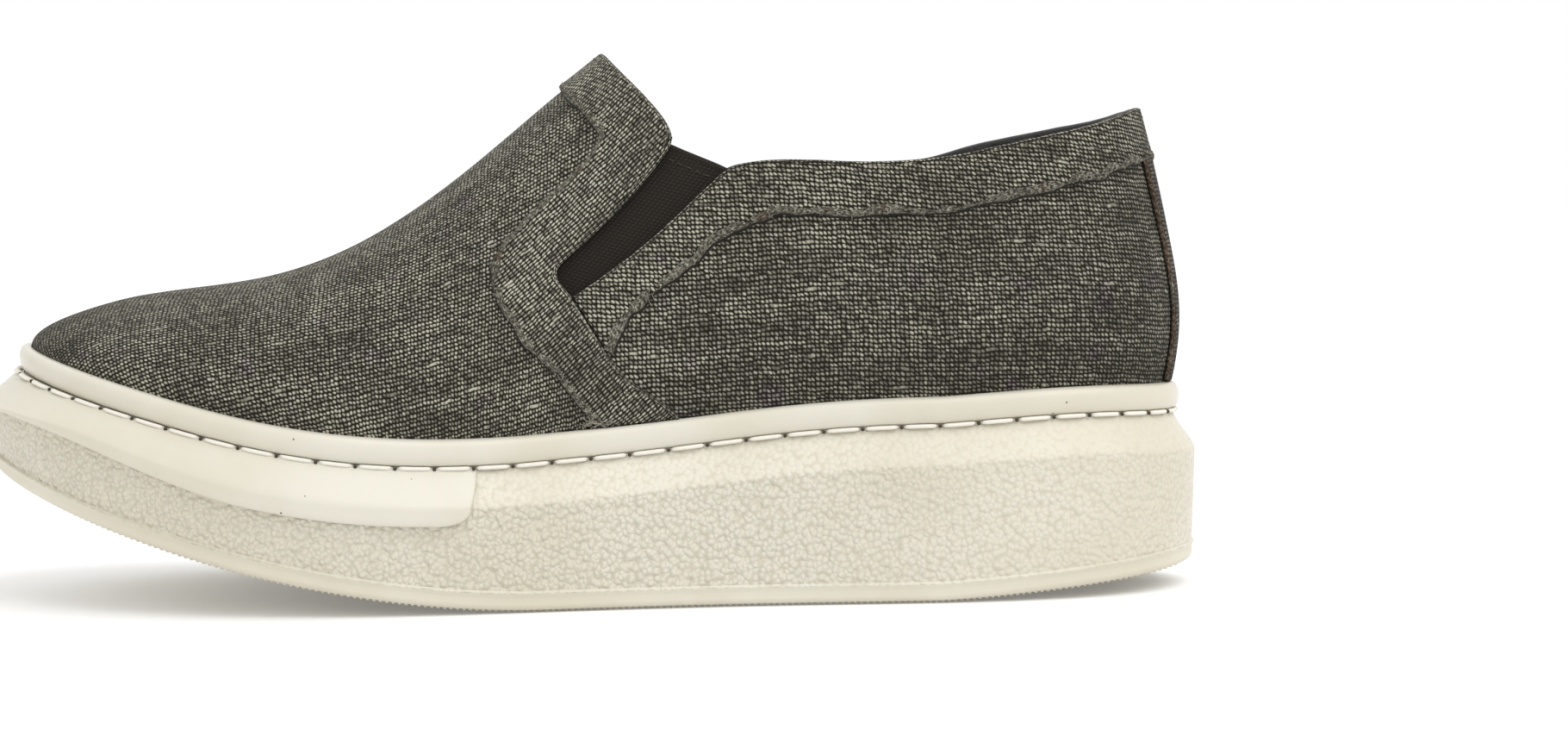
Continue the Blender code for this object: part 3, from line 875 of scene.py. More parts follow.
def turned(quarter, angle):
    along = -np.abs(quarter[:, 0])
    cosine, sine = math.cos(angle), math.sin(angle)
    return np.stack((along * cosine + quarter[:, 1] * sine, quarter[:, 1] * cosine - along * sine), axis=1)


def in_front(x, y, z):
    """Which places lie in front of the line that runs down the middle of the facing."""
    rear = np.array(facing_rear())
    line = rear[rear[:, 1].argsort()]
    edge = np.interp(z + fall(x, y), line[:, 1], line[:, 0])
    return x + skew(x, y) < edge - FACING_WIDTH / 2


def weave_map(piece, change, amount, vamp_in_front):
    """Makes the weave map from the two cloth maps: the quarter's is changed, by leaned or turned."""
    mesh = piece.data
    vamp, quarter = [read(mesh.uv_layers[key].data, "uv", 2) for key in ("vamp", "quarter")]
    places = change(quarter, amount)
    if vamp_in_front:
        sizes = read(mesh.polygons, "loop_total", 1, np.int32).ravel()
        middles = np.repeat(read(mesh.polygons, "center", 3), sizes, axis=0)
        places = np.where(in_front(*middles.T)[:, None], vamp * (1.0, -1.0), places)
    layer = mesh.uv_layers.new(name="weave")
    layer.data.foreach_set("uv", places.astype(np.float32).ravel())
    for key in ("vamp", "quarter"):
        mesh.uv_layers.remove(mesh.uv_layers[key])
    mesh.uv_layers["weave"].active_render = True


def raised_edge(piece, edge, width, size, seed):
    """Lifts a band near its edge, where the cloth is turned under."""
    vertices = piece.data.vertices
    co = read(vertices, "co", 3).astype(float)
    x, y, z = co.T
    flat = np.stack((x + skew(x, y), z + fall(x, y)), axis=1)
    phase = np.random.default_rng(seed).uniform(0, 6, 3)
    wave = np.sin(flat[:, 0] * LIFT_WAVES[0] + phase[0]) + np.sin(flat[:, 1] * LIFT_WAVES[1] + phase[1])
    lift = size * ease(1 - distance_to(flat, edge) / width) * (1 + LIFT_WAVINESS * wave)
    co += read(vertices, "normal", 3) * lift[:, None]
    vertices.foreach_set("co", co.astype(np.float32).ravel())
    piece.data.update()


def threads(name, paths, radius, material):
    """Thin threads along short paths, each closed at both ends."""
    points = []
    faces = []
    for line in paths:
        tangent = unit(np.gradient(line, axis=0))
        across = unit(np.cross(tangent, THREAD_ACROSS))
        upward = np.cross(tangent, across)
        size = np.full((len(line), 1), radius)
        size[[0, -1]] *= THREAD_END
        turns = circle(THREAD_SIDES)
        sides = [line + size * (across * math.cos(turn) + upward * math.sin(turn)) for turn in turns]
        add_rod(points, faces, np.stack(sides, axis=1))
    return mesh_object(name, points, faces, [material])


def fray_paths(pairs, spacing, seed, reach=FRAY_REACH):
    """Loose thread ends along a raw edge: short bent ends and loops that lie close to the cloth."""
    draw = np.random.default_rng(seed)
    places, normals = np.swapaxes(pairs, 0, 1)
    found = []
    along = np.linspace(0, 1, 6)[:, None]
    for _ in range(int(len(pairs) * PATH_STEP / spacing)):
        i = int(draw.integers(2, len(pairs) - 3))
        normal = normals[i]
        tangent = unit(places[i + 2] - places[i - 2])
        across = np.cross(tangent, normal)
        heading = tangent * draw.normal(0, 1.0) + across * draw.normal(0, 0.6)
        heading += normal * draw.uniform(0.0, 0.3)
        curl = tangent * draw.normal(0, 1.0) + across * draw.normal(0, 1.0)
        curl -= normal * draw.uniform(0.2, 0.6)
        length = reach * draw.uniform(0.35, 1.0)
        root = places[i] + normal * BAND_OUT + across * draw.normal(0, FRAY_SCATTER)
        found.append(root + length * (unit(heading) * along + curl * along**2 * 0.7))
    return found


def stitch_row(name, pairs, lift, material):
    """Short flat stitches along a path on the cloth."""
    places, normals = np.swapaxes(pairs, 0, 1)
    normals = smoothed(normals, 4)
    run = run_along(places)
    length, gap = TOPSTITCH
    found = []
    for start in np.arange(gap, run[-1] - length - gap, length + gap):
        at = np.linspace(start, start + length, len(TOPSTITCH_SINK))
        depth = (lift - TOPSTITCH_SINK)[:, None]
        found.append(sampled(at, run, places) + sampled(at, run, normals) * depth)
    return threads(name, found, TOPSTITCH_RADIUS, material)


def gore_to_collar(drop):
    """A side view path up the gore's rear edge and on along the collar, lowered by a distance."""
    rear = resampled(shifted(gore_edge(2), -drop))
    climb = [point for point in rear if point[1] < collar_z(point[0]) - drop]
    along = [point for point in collar_edge(drop) if point[0] > climb[-1][0] + ROLL]
    return rounded([*climb[::4], climb[-1], *along], 2)


def opening_cutter():
    """Everything over the throat and the collar, with room for the rolled edges."""
    throat = rounded(shifted(throat_edge(), -ROLL))
    collar = collar_edge(ROLL)
    top = [(collar[-1][0], OVERHEAD), (throat[0][0], OVERHEAD)]
    return prism("opening_cutter", [*throat, *collar, *top])


def gore_cutter():
    front = shifted(gore_edge(1)[::-1], -ROLL)
    rear = shifted(gore_edge(2), -ROLL)
    return prism("gore_cutter", [*rounded(front), *rounded(rear)])


def binding_low_path():
    """The binding's lower edge: up beside the gore and round under the collar."""
    low_front = shifted(gore_edge(2), -BINDING_WIDTH * BINDING_GORE_SHARE)[1:-2]
    low = [point for point in collar_edge(BINDING_WIDTH) if point[0] > low_front[-1][0] + BINDING_WIDTH]
    return rounded([*low_front, *low])


def cut_shell(name, form, span, materials, key, weave, steps, whole=False):
    """A lined shell between two distances from the last, cut by steps, with its weave.

    The whole upper has a skirt down to the groove, and the vamp's own weave in front."""
    piece = shell(name, form, span, (materials[key], materials["lining"]), whole)
    carve(piece, steps)
    weave_map(piece, *weave, whole)
    return piece


def build_upper(form, materials):
    steps = (("DIFFERENCE", opening_cutter()), ("DIFFERENCE", gore_cutter()))
    span = (0.0, -UPPER_WALL)
    weave = (leaned, QUARTER_LEAN)
    upper = cut_shell("canvas_upper", form, span, materials, "canvas", weave, steps, whole=True)
    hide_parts("upper")
    return [upper]


def band_shell(name, form, materials, key, weave, outline_points):
    """A band over the upper, kept inside a side view outline and below the opening."""
    steps = (("INTERSECT", prism(name + "_cutter", outline_points)), ("DIFFERENCE", opening_cutter()))
    return cut_shell(name, form, (BAND_OUT, GAP), materials, key, weave, steps)


def band_trims(name, edge, frayed, seam, size, share, seeds, materials):
    """A band's turned edge with a dark tube of painted shadow under it, its frayed threads and its
    topstitching.
    """
    rolled = (BAND_MIDDLE, *size)
    shade = (GAP / 2, PAINTED_SHADOW_LINE[0], size[1] + PAINTED_SHADOW_LINE[1] * share)
    way = (EDGE_ROUGH, seeds[0], EDGE_SWAY * share)
    frays = fray_paths(frayed, FRAY_SPACING, seeds[1])
    return [
        tube(name + "_edge", edge, rolled, [materials["edge"]], *way),
        # The _shade tube is a dark line of painted shadow under the turned edge.
        tube(name + "_shade", edge, shade, [materials["gap"]], *way),
        threads(name + "_frays", frays, FRAY_RADIUS, materials["fray"]),
        stitch_row(name + "_topstitch", seam, BAND_OUT + TOPSTITCH_RADIUS / 2, materials["seam"]),
    ]


def build_facing(form, caster, materials):
    rear = shifted(rounded(facing_rear()), -ROLL)
    front = rounded(facing_front())
    weave = (turned, FACING_TURN)
    facing = band_shell("canvas_facing", form, materials, "facing", weave, [*rear, *front[::-1]])
    raised_edge(facing, front, *FACING_LIFT)
    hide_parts("facing")
    fold = tube("facing_fold", caster.over(rear), FOLD, [materials["facing"]], FOLD_ROUGH, seed=1)
    edge = caster.over(front)
    seam = caster.over(shifted(rounded(facing_rear()), -TOPSTITCH_INSET))
    trims = band_trims("facing", edge, edge, seam, FACING_EDGE, 0.5, (2, 21), materials)
    return [facing, fold, *trims, build_tuft(caster, materials)]


def build_tuft(caster, materials):
    """A few pulled light threads at the foot of the facing."""
    low = float(welt_top(TUFT_RUN[0])) + TUFT_RISE
    pairs = caster.side_path([(x, low) for x in TUFT_RUN], -1)
    frays = fray_paths(pairs, TUFT_SPACING, 31, TUFT_REACH)
    return threads("facing_tuft", frays, TUFT_RADIUS, materials["fray"])


def build_binding(form, caster, materials):
    low_path = binding_low_path()
    rear = shifted(gore_edge(2), -ROLL)
    leg = shifted(facing_rear()[-len(FACING_LEG) - 1 :], GAP)[:2]
    top = [(rear[-1][0], OVERHEAD), (low_path[-1][0], OVERHEAD)]
    around = [*leg[::-1], *rear[1:], *top, *low_path[::-1]]
    weave = (leaned, BINDING_LEAN)
    binding = band_shell("canvas_collar_binding", form, materials, "binding", weave, around)
    raised_edge(binding, low_path, *BINDING_LIFT)
    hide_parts("collar_binding")
    rim = caster.round_heel(gore_to_collar(ROLL), ROLL)
    fold = tube("collar_fold", rim, FOLD, [materials["binding"], materials["lining"]], FOLD_ROUGH, seed=3)
    for number, polygon in enumerate(fold.data.polygons):
        polygon.material_index = int(TUBE_SIDES / 4 <= number % TUBE_SIDES < 3 * TUBE_SIDES / 4)
    edge = caster.round_heel([leg[1], *low_path], BINDING_WIDTH)
    frayed = caster.round_heel(low_path, BINDING_WIDTH)
    seam = caster.round_heel(gore_to_collar(TOPSTITCH_INSET), TOPSTITCH_INSET)
    trims = band_trims("binding", edge, frayed, seam, BINDING_EDGE, 1.0, (6, 22), materials)
    return [binding, fold, *trims]


def build_heel_strip(form, caster, materials):
    top = [point for point in collar_edge(BINDING_WIDTH + GAP) if point[0] > X_HEEL - HEEL_ROUNDING]
    low = [(top[-1][0], 0.0), (top[0][0], 0.0)]
    half = HEEL_STRIP_WIDTH / 2
    centre = float(outline(0.0)[1])
    steps = [("INTERSECT", prism("heel_strip_cutter", [*top, *low], centre - half, centre + half))]
    weave = (leaned, 0.0)
    piece = cut_shell("canvas_heel_strip", form, (BAND_OUT, GAP), materials, "strip", weave, steps)
    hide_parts("heel_strip")
    pieces = [piece]
    heights = np.arange(float(welt_top(X_HEEL)), collar_z(X_HEEL) - BINDING_WIDTH, PATH_STEP)
    size = (BAND_MIDDLE, *STRIP_EDGE)
    for sign, name in ((-1, "heel_strip_edge_lateral"), (1, "heel_strip_edge_medial")):
        found = [caster.cast((OVERHEAD, centre + sign * half, z), (-1.0, 0.0, 0.0)) for z in heights]
        pairs = [pair for pair in found if pair is not None]
        pieces.append(tube(name, pairs, size, [materials["strip_edge"]], STRIP_ROUGH, seed=8 + sign))
    return pieces


def build_gores(form, caster, materials):
    near = -UPPER_WALL - GAP
    span = (near, near - GORE_THICKNESS)
    slant = GORE_TOP_SLANT * GORE_LENGTH
    top = [gore_point(GORE_TOP * GORE_LENGTH - end * slant, end * GORE_WIDTH) for end in (1, -1)]
    foot = [gore_point(GORE_TUCK * GORE_LENGTH, edge * GORE_WIDTH) for edge in GORE_FOOT_EDGES]
    drop = unit(np.array(foot[0]) - np.array(top[0])) * HEM_STITCH_DROP
    size = (sum(span) / 2, *HEM_SIZE)
    pieces = []
    for name, sign in (("gore_lateral", -1), ("gore_medial", 1)):
        low_y, high_y = sorted((0.0, sign * BALL_WIDTH))
        steps = [("INTERSECT", prism(name + "_cutter", [*top, *foot], low_y, high_y))]
        weave = (turned, GORE_SLOPE)
        gore = cut_shell("elastic_" + name, form, span, materials, "elastic", weave, steps)
        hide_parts(name)
        rim = caster.side_path(top, sign)
        hem = tube("hem_" + name, rim, size, [materials["elastic"]], HEM_ROUGH, seed=30 + sign)
        seam = caster.side_path(np.array(top) + drop, sign)
        stitched = stitch_row("hem_stitches_" + name, seam, near + TOPSTITCH_RADIUS, materials["seam"])
        pieces += [gore, hem, stitched]
    return pieces


# The sole's finer shapes
SOLE_STATIONS = 480
BEVEL_START = (0.0, -0.06)
WALL_ROWS = np.linspace(0.15, 0.9, 6)
WALL_OUT = SOLE_FLARE - WALL_DRAFT
SHARP_ANGLE = math.radians(50)
RIDGE_OUT = 0.00040
RIDGE_HALF = 0.00035
OUTSOLE_TOP = ((-0.001, 0.0), (RIDGE_OUT, 0.0), (0.0, 2 * RIDGE_HALF), (-0.0001, 0.001))
RIB_PITCH = 0.0014
RIB_WIDTH = 0.0008
RIB_HEIGHT = 0.0004
RIB_INSET = 0.0023
RIB_WAVE = 0.0022
RIB_WAVE_LENGTH = 0.011
RIB_STEPS = 36
RIB_SECTION = ((-1.0, 1.6), (-0.72, 0.1), (0.72, 0.1), (1.0, 1.6))
WELT_STEPS = 20
WELT_POWERS = (0.72, 0.46)
INSOLE_ROUNDING = 0.001
INSOLE_STATIONS = 240
STITCH_PITCH = 0.00872
STITCH_START = 0.0030
STITCH_LENGTH = 0.0080
STITCH_OUT = 0.0021
STITCH_RADIUS = 0.00048
STITCH_DROP = 0.00014
STITCH_SINK = 0.0009
STITCH_SIDES = 8
HOLE_RADIUS = 0.00044
HOLE_INSET = 0.0001
HOLE_ROWS = 6
SLUMP_PLACE = (-0.108, 0.026)
TIP_PLACE = (-0.1270, 0.0140)
TIP_SHARE = 0.65
TIP_SLUMP = 0.0030
BUMPER_LEAN = 0.0018
BUMPER_END_THINNING = 0.55
CORNER_STEPS = (0.0, 0.01, 0.04, 0.09, 0.16, 0.25, 0.36, 0.5, 0.65, 0.82, 1.0)

# How much lower the bevel lies at the toe's tip, by its share of the bevel's drop
TOE_SLUMP = (
    # share, fall
    (0.00, 0.0000),
    (0.10, 0.0007),
    (0.28, 0.0022),
    (0.65, 0.0030),
    (1.00, 0.0022),
    (1.47, 0.0006),
    (4.00, 0.0000),
)


def below_groove(x, drop):
    """A height under the groove: drops grow less round the toe, and the bevel rolls over there."""
    narrowing = ease((share_of(x) - NARROWING_START) / (1 - NARROWING_START))
    places, falls = np.transpose(TOE_SLUMP)
    share = drop / BEVEL_DROP
    slump = np.interp(share, places, falls) * ease((SLUMP_PLACE[0] - x) / SLUMP_PLACE[1])
    tip = TIP_SLUMP * ease(share / TIP_SHARE) * np.maximum((TIP_PLACE[0] - x) / TIP_PLACE[1], 0.0) ** 2
    return groove(x) - drop * (1 - (1 - TOE_NARROWING) * narrowing) - slump - tip


def ring(out, base, rise=0.0, plan=sole_outline, stations=SOLE_STATIONS):
    """Points round a plan's outline, a rise above a height that is a function of x."""
    x, y = plan(np.linspace(0.0, 2 * math.pi, stations, endpoint=False), out)
    return np.stack((x, y, base(x) + rise), axis=-1)


def stack(name, rings, material):
    """A solid from rings round the outline, top first, with plain ends."""
    n = len(rings[0])
    faces = rod_faces(len(rings), n)[:-2]
    for first in (0, (len(rings) - 1) * n):
        for i in range(n // 2):
            corners = [first + i, first + i + 1, first + n - i - 1, first + (n - i) % n]
            faces.append([c for m, c in enumerate(corners) if c not in corners[:m]])
    piece = mesh_object(name, np.concatenate(rings), faces, [material])
    piece.data.set_sharp_from_angle(angle=SHARP_ANGLE)
    return piece


def build_midsole(materials):
    rings = []
    for out, drop in rounded([BEVEL_START, *BEVEL]):
        rings.append(ring(out * SOLE_FLARE, lambda x, drop=drop: below_groove(x, drop * BEVEL_DROP)))
    for share in WALL_ROWS:

        def height(x, share=share):
            top = below_groove(x, BEVEL[-1][1] * BEVEL_DROP)
            return top + (tread(x) + OUTSOLE_THICKNESS + GAP - top) * share

        rings.append(ring(SOLE_FLARE - WALL_DRAFT * share, height))
    for out, rise in ((0.0, 2 * RIDGE_HALF), (RIDGE_OUT, RIDGE_HALF), (RIDGE_OUT, 0.0)):
        rings.append(ring(WALL_OUT + out, tread, OUTSOLE_THICKNESS + rise))
    piece = stack("rubber_midsole", rings, materials["wall"])
    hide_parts("midsole")
    return [piece]


def build_outsole(materials):
    rings = []
    for out, drop in OUTSOLE_TOP:
        rings.append(ring(WALL_OUT + out, tread, OUTSOLE_THICKNESS - drop))
    for turn in np.linspace(0, math.pi / 2, 7):
        rise = RIB_HEIGHT + (OUTSOLE_ROUNDING - RIB_HEIGHT) * (1 - math.sin(turn))
        rings.append(ring(WALL_OUT - OUTSOLE_ROUNDING * (1 - math.cos(turn)), tread, rise))
    piece = stack("rubber_outsole", rings, materials["tread"])
    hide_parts("outsole")
    return [piece, build_ribs(materials)]


def build_ribs(materials):
    """The tread's fine wavy ribs across the underside, each a bar with a flat foot."""
    angles = np.linspace(0.0, math.pi, 400)
    lateral_x, lateral_y = sole_outline(angles, WALL_OUT - RIB_INSET)
    medial_x, medial_y = sole_outline(2 * math.pi - angles, WALL_OUT - RIB_INSET)
    points = []
    faces = []
    for x in np.arange(lateral_x.min() + RIB_WAVE, lateral_x.max() - RIB_WAVE, RIB_PITCH):
        low_y = np.interp(-x, -lateral_x, lateral_y)
        high_y = np.interp(-x, -medial_x, medial_y)
        rings = []
        for y in np.linspace(low_y, high_y, RIB_STEPS + 1):
            wave = RIB_WAVE / math.pi * math.asin(math.sin(2 * math.pi * y / RIB_WAVE_LENGTH))
            middle = x + wave * float(ease(min(y - low_y, high_y - y) / RIB_WAVE_LENGTH))
            places = [middle + across * RIB_WIDTH / 2 for across, _ in RIB_SECTION]
            heights = [rise * RIB_HEIGHT for _, rise in RIB_SECTION]
            rings.append([(place, y, float(tread(place)) + rise) for place, rise in zip(places, heights)])
        add_rod(points, faces, rings)
    return mesh_object("tread_ribs", points, faces, [materials["tread"]], smooth=False)


def build_welt(materials):
    """The smooth bead over the foot of the canvas."""
    rings = []
    for step in range(WELT_STEPS + 1):
        turn = math.pi * step / WELT_STEPS
        out = GAP + (WELT_BULGE - GAP) * math.sin(turn) ** WELT_POWERS[turn >= math.pi / 2]
        rise = GAP + (WELT_HEIGHT - GAP) * (1 + math.cos(turn)) / 2
        rings.append(ring(out, groove, rise, outline))
    rings += [ring(0.0, groove, rise, outline) for rise in (GAP, WELT_HEIGHT)]
    points = np.concatenate(rings)
    sides = rod_faces(len(rings) + 1, SOLE_STATIONS)[:-2]
    faces = [tuple(corner % len(points) for corner in face) for face in sides]
    piece = mesh_object("rubber_welt", points, faces, [materials["bead"]])
    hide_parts("welt")
    return [piece]


def bumper_section(low, share):
    """The bumper's section down to a drop: its outside, then its inside, in (out, drop).

    The outside lies a share of the band's full thickness out from the bevel, rounded at both edges."""
    inner = [(out * SOLE_FLARE + GAP / 2, drop * BEVEL_DROP) for out, drop in BEVEL[:4]]
    full, crest = inner[-1]
    thick = (BUMPER_THICKNESS + 2 * GAP) * share
    outside = [(full, low), (full + thick * 0.8, low), (full + thick, low - thick * 0.5)]
    outside += [(full + thick, crest + 0.3 * (low - crest)), (full + thick, crest * 0.97)]
    outside += [(out + thick * 0.78, drop - thick * 0.35) for out, drop in inner[2:0:-1]]
    outside += [(inner[0][0] + thick * 0.62, 0.0007), (inner[0][0] + thick * 0.2, 0.0001)]
    return np.array([*rounded(outside, 2), *inner])


def build_bumper(materials):
    """The smooth band round the toe, over the platform's bevel."""
    first = math.acos(2 * BUMPER_LENGTH / UPPER_LENGTH - 1)
    corner, lean = np.array((BUMPER_CORNER, BUMPER_LEAN)) / (UPPER_LENGTH / 2 * math.sin(first))
    start = first + corner * np.array(CORNER_STEPS)
    middle = np.linspace(start[-1], 2 * math.pi - start[-1], 260)[1:-1]
    rings = []
    for angle in (*start, *middle, *(2 * math.pi - start[::-1])):
        near = min(angle - first, 2 * math.pi - first - angle)
        left = max(1 - near / corner, 0.0)
        rounding = 1 - math.sqrt(max(1 - left * left, 0.0))
        low = BUMPER_DROP - (BUMPER_DROP - BEVEL_DROP * 1.04) * rounding
        out, drop = bumper_section(low, 1 - BUMPER_END_THINNING * rounding).T
        forward = lean * left**2 * np.minimum(drop / BEVEL_DROP, 1.0) ** 2
        x, y = sole_outline(angle + (forward if angle < math.pi else -forward), out)
        rings.append(np.stack((x, y, below_groove(x, drop)), axis=-1))
    faces = rod_faces(len(rings), len(rings[0]))
    piece = mesh_object("rubber_toe_bumper", np.concatenate(rings), faces, [materials["bead"]])
    piece.data.set_sharp_from_angle(angle=SHARP_ANGLE)
    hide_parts("toe_bumper")
    return [piece]


def build_insole(materials):
    out = -UPPER_WALL - GAP
    rings = []
    for turn in np.linspace(0, math.pi / 2, 6):
        inset = INSOLE_ROUNDING * (1 - math.sin(turn))
        rise = GAP + INSOLE_THICKNESS - INSOLE_ROUNDING * (1 - math.cos(turn))
        rings.append(ring(out - inset, groove, rise, outline, INSOLE_STATIONS))
    rings.append(ring(out, groove, GAP, outline, INSOLE_STATIONS))
    piece = stack("cloth_insole", rings, materials["lining"])
    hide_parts("insole")
    return [piece]


def build_stitches(materials):
    """The light stitches that lie in the groove, and dark balls of painted shade in the holes between them.
    """
    angles = np.linspace(0.0, 2 * math.pi, 4001)
    run = run_along(np.transpose(outline(angles, STITCH_OUT)))
    count = round(run[-1] / STITCH_PITCH)
    pitch = run[-1] / count
    along = np.linspace(-1, 1, 11)
    sink = STITCH_SINK * np.abs(along) ** 6
    radius = STITCH_RADIUS * np.sqrt(np.clip(1 - np.abs(along) ** 8, 0.03, 1))
    small = 0.001
    stitches, holes = ([], []), ([], [])
    for number in range(count):
        middle = STITCH_START + pitch * (number + 0.5)
        at = np.interp(np.mod(middle + along * STITCH_LENGTH / 2, run[-1]), run, angles)
        line = np.transpose(outline(at))
        across = (np.transpose(sole_outline(at, small)) - line) / small
        centre = line + across * (STITCH_OUT - sink)[:, None]
        height = groove(centre[:, 0]) - STITCH_DROP
        sides = []
        for turn in circle(STITCH_SIDES):
            flat = centre + across * (radius * math.cos(turn))[:, None]
            sides.append(np.column_stack((flat, height + radius * math.sin(turn))))
        add_rod(*stitches, np.stack(sides, axis=1))
        at = np.interp(np.mod(STITCH_START + pitch * number, run[-1]), run, angles)
        x, y = sole_outline(at, STITCH_OUT - HOLE_INSET)
        # Each hole is a dark ball of painted shade.
        add_rod(*holes, ball(np.array((x, y, groove(x) - STITCH_DROP - HOLE_INSET)), HOLE_RADIUS))
    return [
        mesh_object("groove_stitches", *stitches, [materials["thread"]]),
        mesh_object("stitch_holes", *holes, [materials["hole"]]),
    ]


def ball(centre, radius):
    """The rings of points of a small ball."""
    rings = []
    for row in range(1, HOLE_ROWS):
        turn = math.pi * row / HOLE_ROWS
        flat, rise = radius * math.sin(turn), radius * math.cos(turn)
        around = circle(STITCH_SIDES)
        rings.append([centre + (flat * math.cos(t), flat * math.sin(t), rise) for t in around])
    return rings


class Value:
    """What a node gives, with sums, products and quotients that add nodes."""

    def __init__(self, net, socket):
        self.net = net
        self.socket = socket

    def __add__(self, other):
        return self.net.math("ADD", self, other)

    def __mul__(self, other):
        return self.net.math("MULTIPLY", self, other)

    def __truediv__(self, other):
        return self.net.math("DIVIDE", self, other)

    __radd__ = __add__
    __rmul__ = __mul__


class Net:
    """A material's node tree, with short calls for the nodes that it needs."""

    def __init__(self, name):
        self.material = bpy.data.materials.new(name)
        self.material.use_nodes = True
        self.tree = self.material.node_tree
        self.shader = self.tree.nodes["Principled BSDF"]

    def put(self, socket, value):
        if isinstance(value, Value):
            self.tree.links.new(value.socket, socket)
        elif isinstance(value, tuple) and len(value) == 3:
            socket.default_value = (*value, 1.0)
        else:
            socket.default_value = value

    def node(self, kind, inputs, output=0, **settings):
        """What a new node gives, from its inputs by number or name, and its settings."""
        node = self.tree.nodes.new("ShaderNode" + kind)
        for key, value in settings.items():
            setattr(node, key, value)
        for key, value in inputs.items():
            self.put(node.inputs[key], value)
        return Value(self, node.outputs[output])

    def math(self, operation, *values):
        return self.node("Math", dict(enumerate(values)), operation=operation)

    def step(self, value, low, high, out_low=0.0, out_high=1.0):
        """A smooth step between two values."""
        inputs = dict(enumerate((value, low, high, out_low, out_high)))
        return self.node("MapRange", inputs, interpolation_type="SMOOTHSTEP")

    def wave(self, value):
        """A rise and fall between 0 and 1."""
        return self.math("PINGPONG", value, 1.0)

    def vector(self, x, y, z=0.0):
        return self.node("CombineXYZ", {0: x, 1: y, 2: z})

    def parts(self, vector):
        first = self.node("SeparateXYZ", {0: vector})
        return [Value(self, socket) for socket in first.socket.node.outputs]

    def weave(self):
        return self.parts(self.node("UVMap", {}, uv_map="weave"))[:2]

    def place(self):
        """The place on the object, in millimetres."""
        place = self.node("TexCoord", {}, "Object")
        return self.node("VectorMath", {0: place, "Scale": MM}, operation="SCALE")

    def noise(self, vector, scale, detail=2.0, roughness=0.5):
        inputs = {"Vector": vector, "Scale": scale, "Detail": detail, "Roughness": roughness}
        return self.node("TexNoise", inputs)

    def dots(self, vector, size):
        """The distance to the nearest of scattered points, in shares of a cell's size."""
        return self.node("TexVoronoi", {"Vector": vector, "Scale": 1 / size}, "Distance")

    def cell(self, *place):
        """A random number for each whole place."""
        return self.node("TexWhiteNoise", {"Vector": self.vector(*place)}, noise_dimensions="3D")

    def mix(self, share, a, b):
        return self.node("Mix", {0: share, 6: a, 7: b}, 2, data_type="RGBA")

    def bump(self, height, distance, strength=1.0):
        return self.node("Bump", {"Strength": strength, "Distance": distance, "Height": height})

    def finish(self, colour, roughness, normal=None, **sockets):
        self.put(self.shader.inputs["Base Color"], colour)
        self.put(self.shader.inputs["Roughness"], roughness)
        if normal is not None:
            self.put(self.shader.inputs["Normal"], normal)
        for name, value in sockets.items():
            self.shader.inputs[name.replace("_", " ")].default_value = value
        return self.material


# The canvas: colours, sizes in threads and millimetres, and where it is darker or lighter, in millimetres
DARK_THREAD = (0.014, 0.0122, 0.0078)
LIGHT_THREAD = (0.440, 0.420, 0.335)
FACING_THREAD = (0.500, 0.480, 0.385)
STRIP_THREAD = (0.30, 0.26, 0.22)
COOL_SHIFT = (0.86, 0.80, 0.92)
GROUND_SHIFT = (1.1, 0.85, 1.5)
WANDER = 0.9
JITTER = 0.20
KNUCKLE_LONG = 0.42
KNUCKLE_WIDE = 0.27
SLUB_LENGTH = 22.0
DASH_LENGTH = 4.0
PATCH_SIZE = (26.0, 10.0)
REAR_DARKENING_RUN = (0.0, 60.0)
LOW_DARKENING_RISE = (46.0, 66.0)
TOE_TIP_DARKENING = (-130.0, -88.0, 0.68, 0.98)
HEEL_END_DARKENING = (88.0, 125.0, 1.0, 0.80)
HIGH_TONE_RISE = (52.0, 72.0)
LOW_DARKENING = -0.27

# Smooth steps in the canvas, each from two values, and some to two others
OVAL_EDGE = (1.25, 0.40)
SLUBS = (0.53, 0.78, 0.0, 0.52)
SLUBS_UP = (0.56, 0.80, 0.0, 0.36)
DASHES = (0.70, 0.84)
DASH_EDGE = (0.48, 0.18)
PATCHES = (0.28, 0.72, 0.62, 1.24)
PLUM = (0.62, 0.80)


def scaled(colour, *shares):
    """A colour with its parts scaled, all alike or one by one."""
    return tuple(c * k for c, k in zip(colour, shares * (3 // len(shares))))


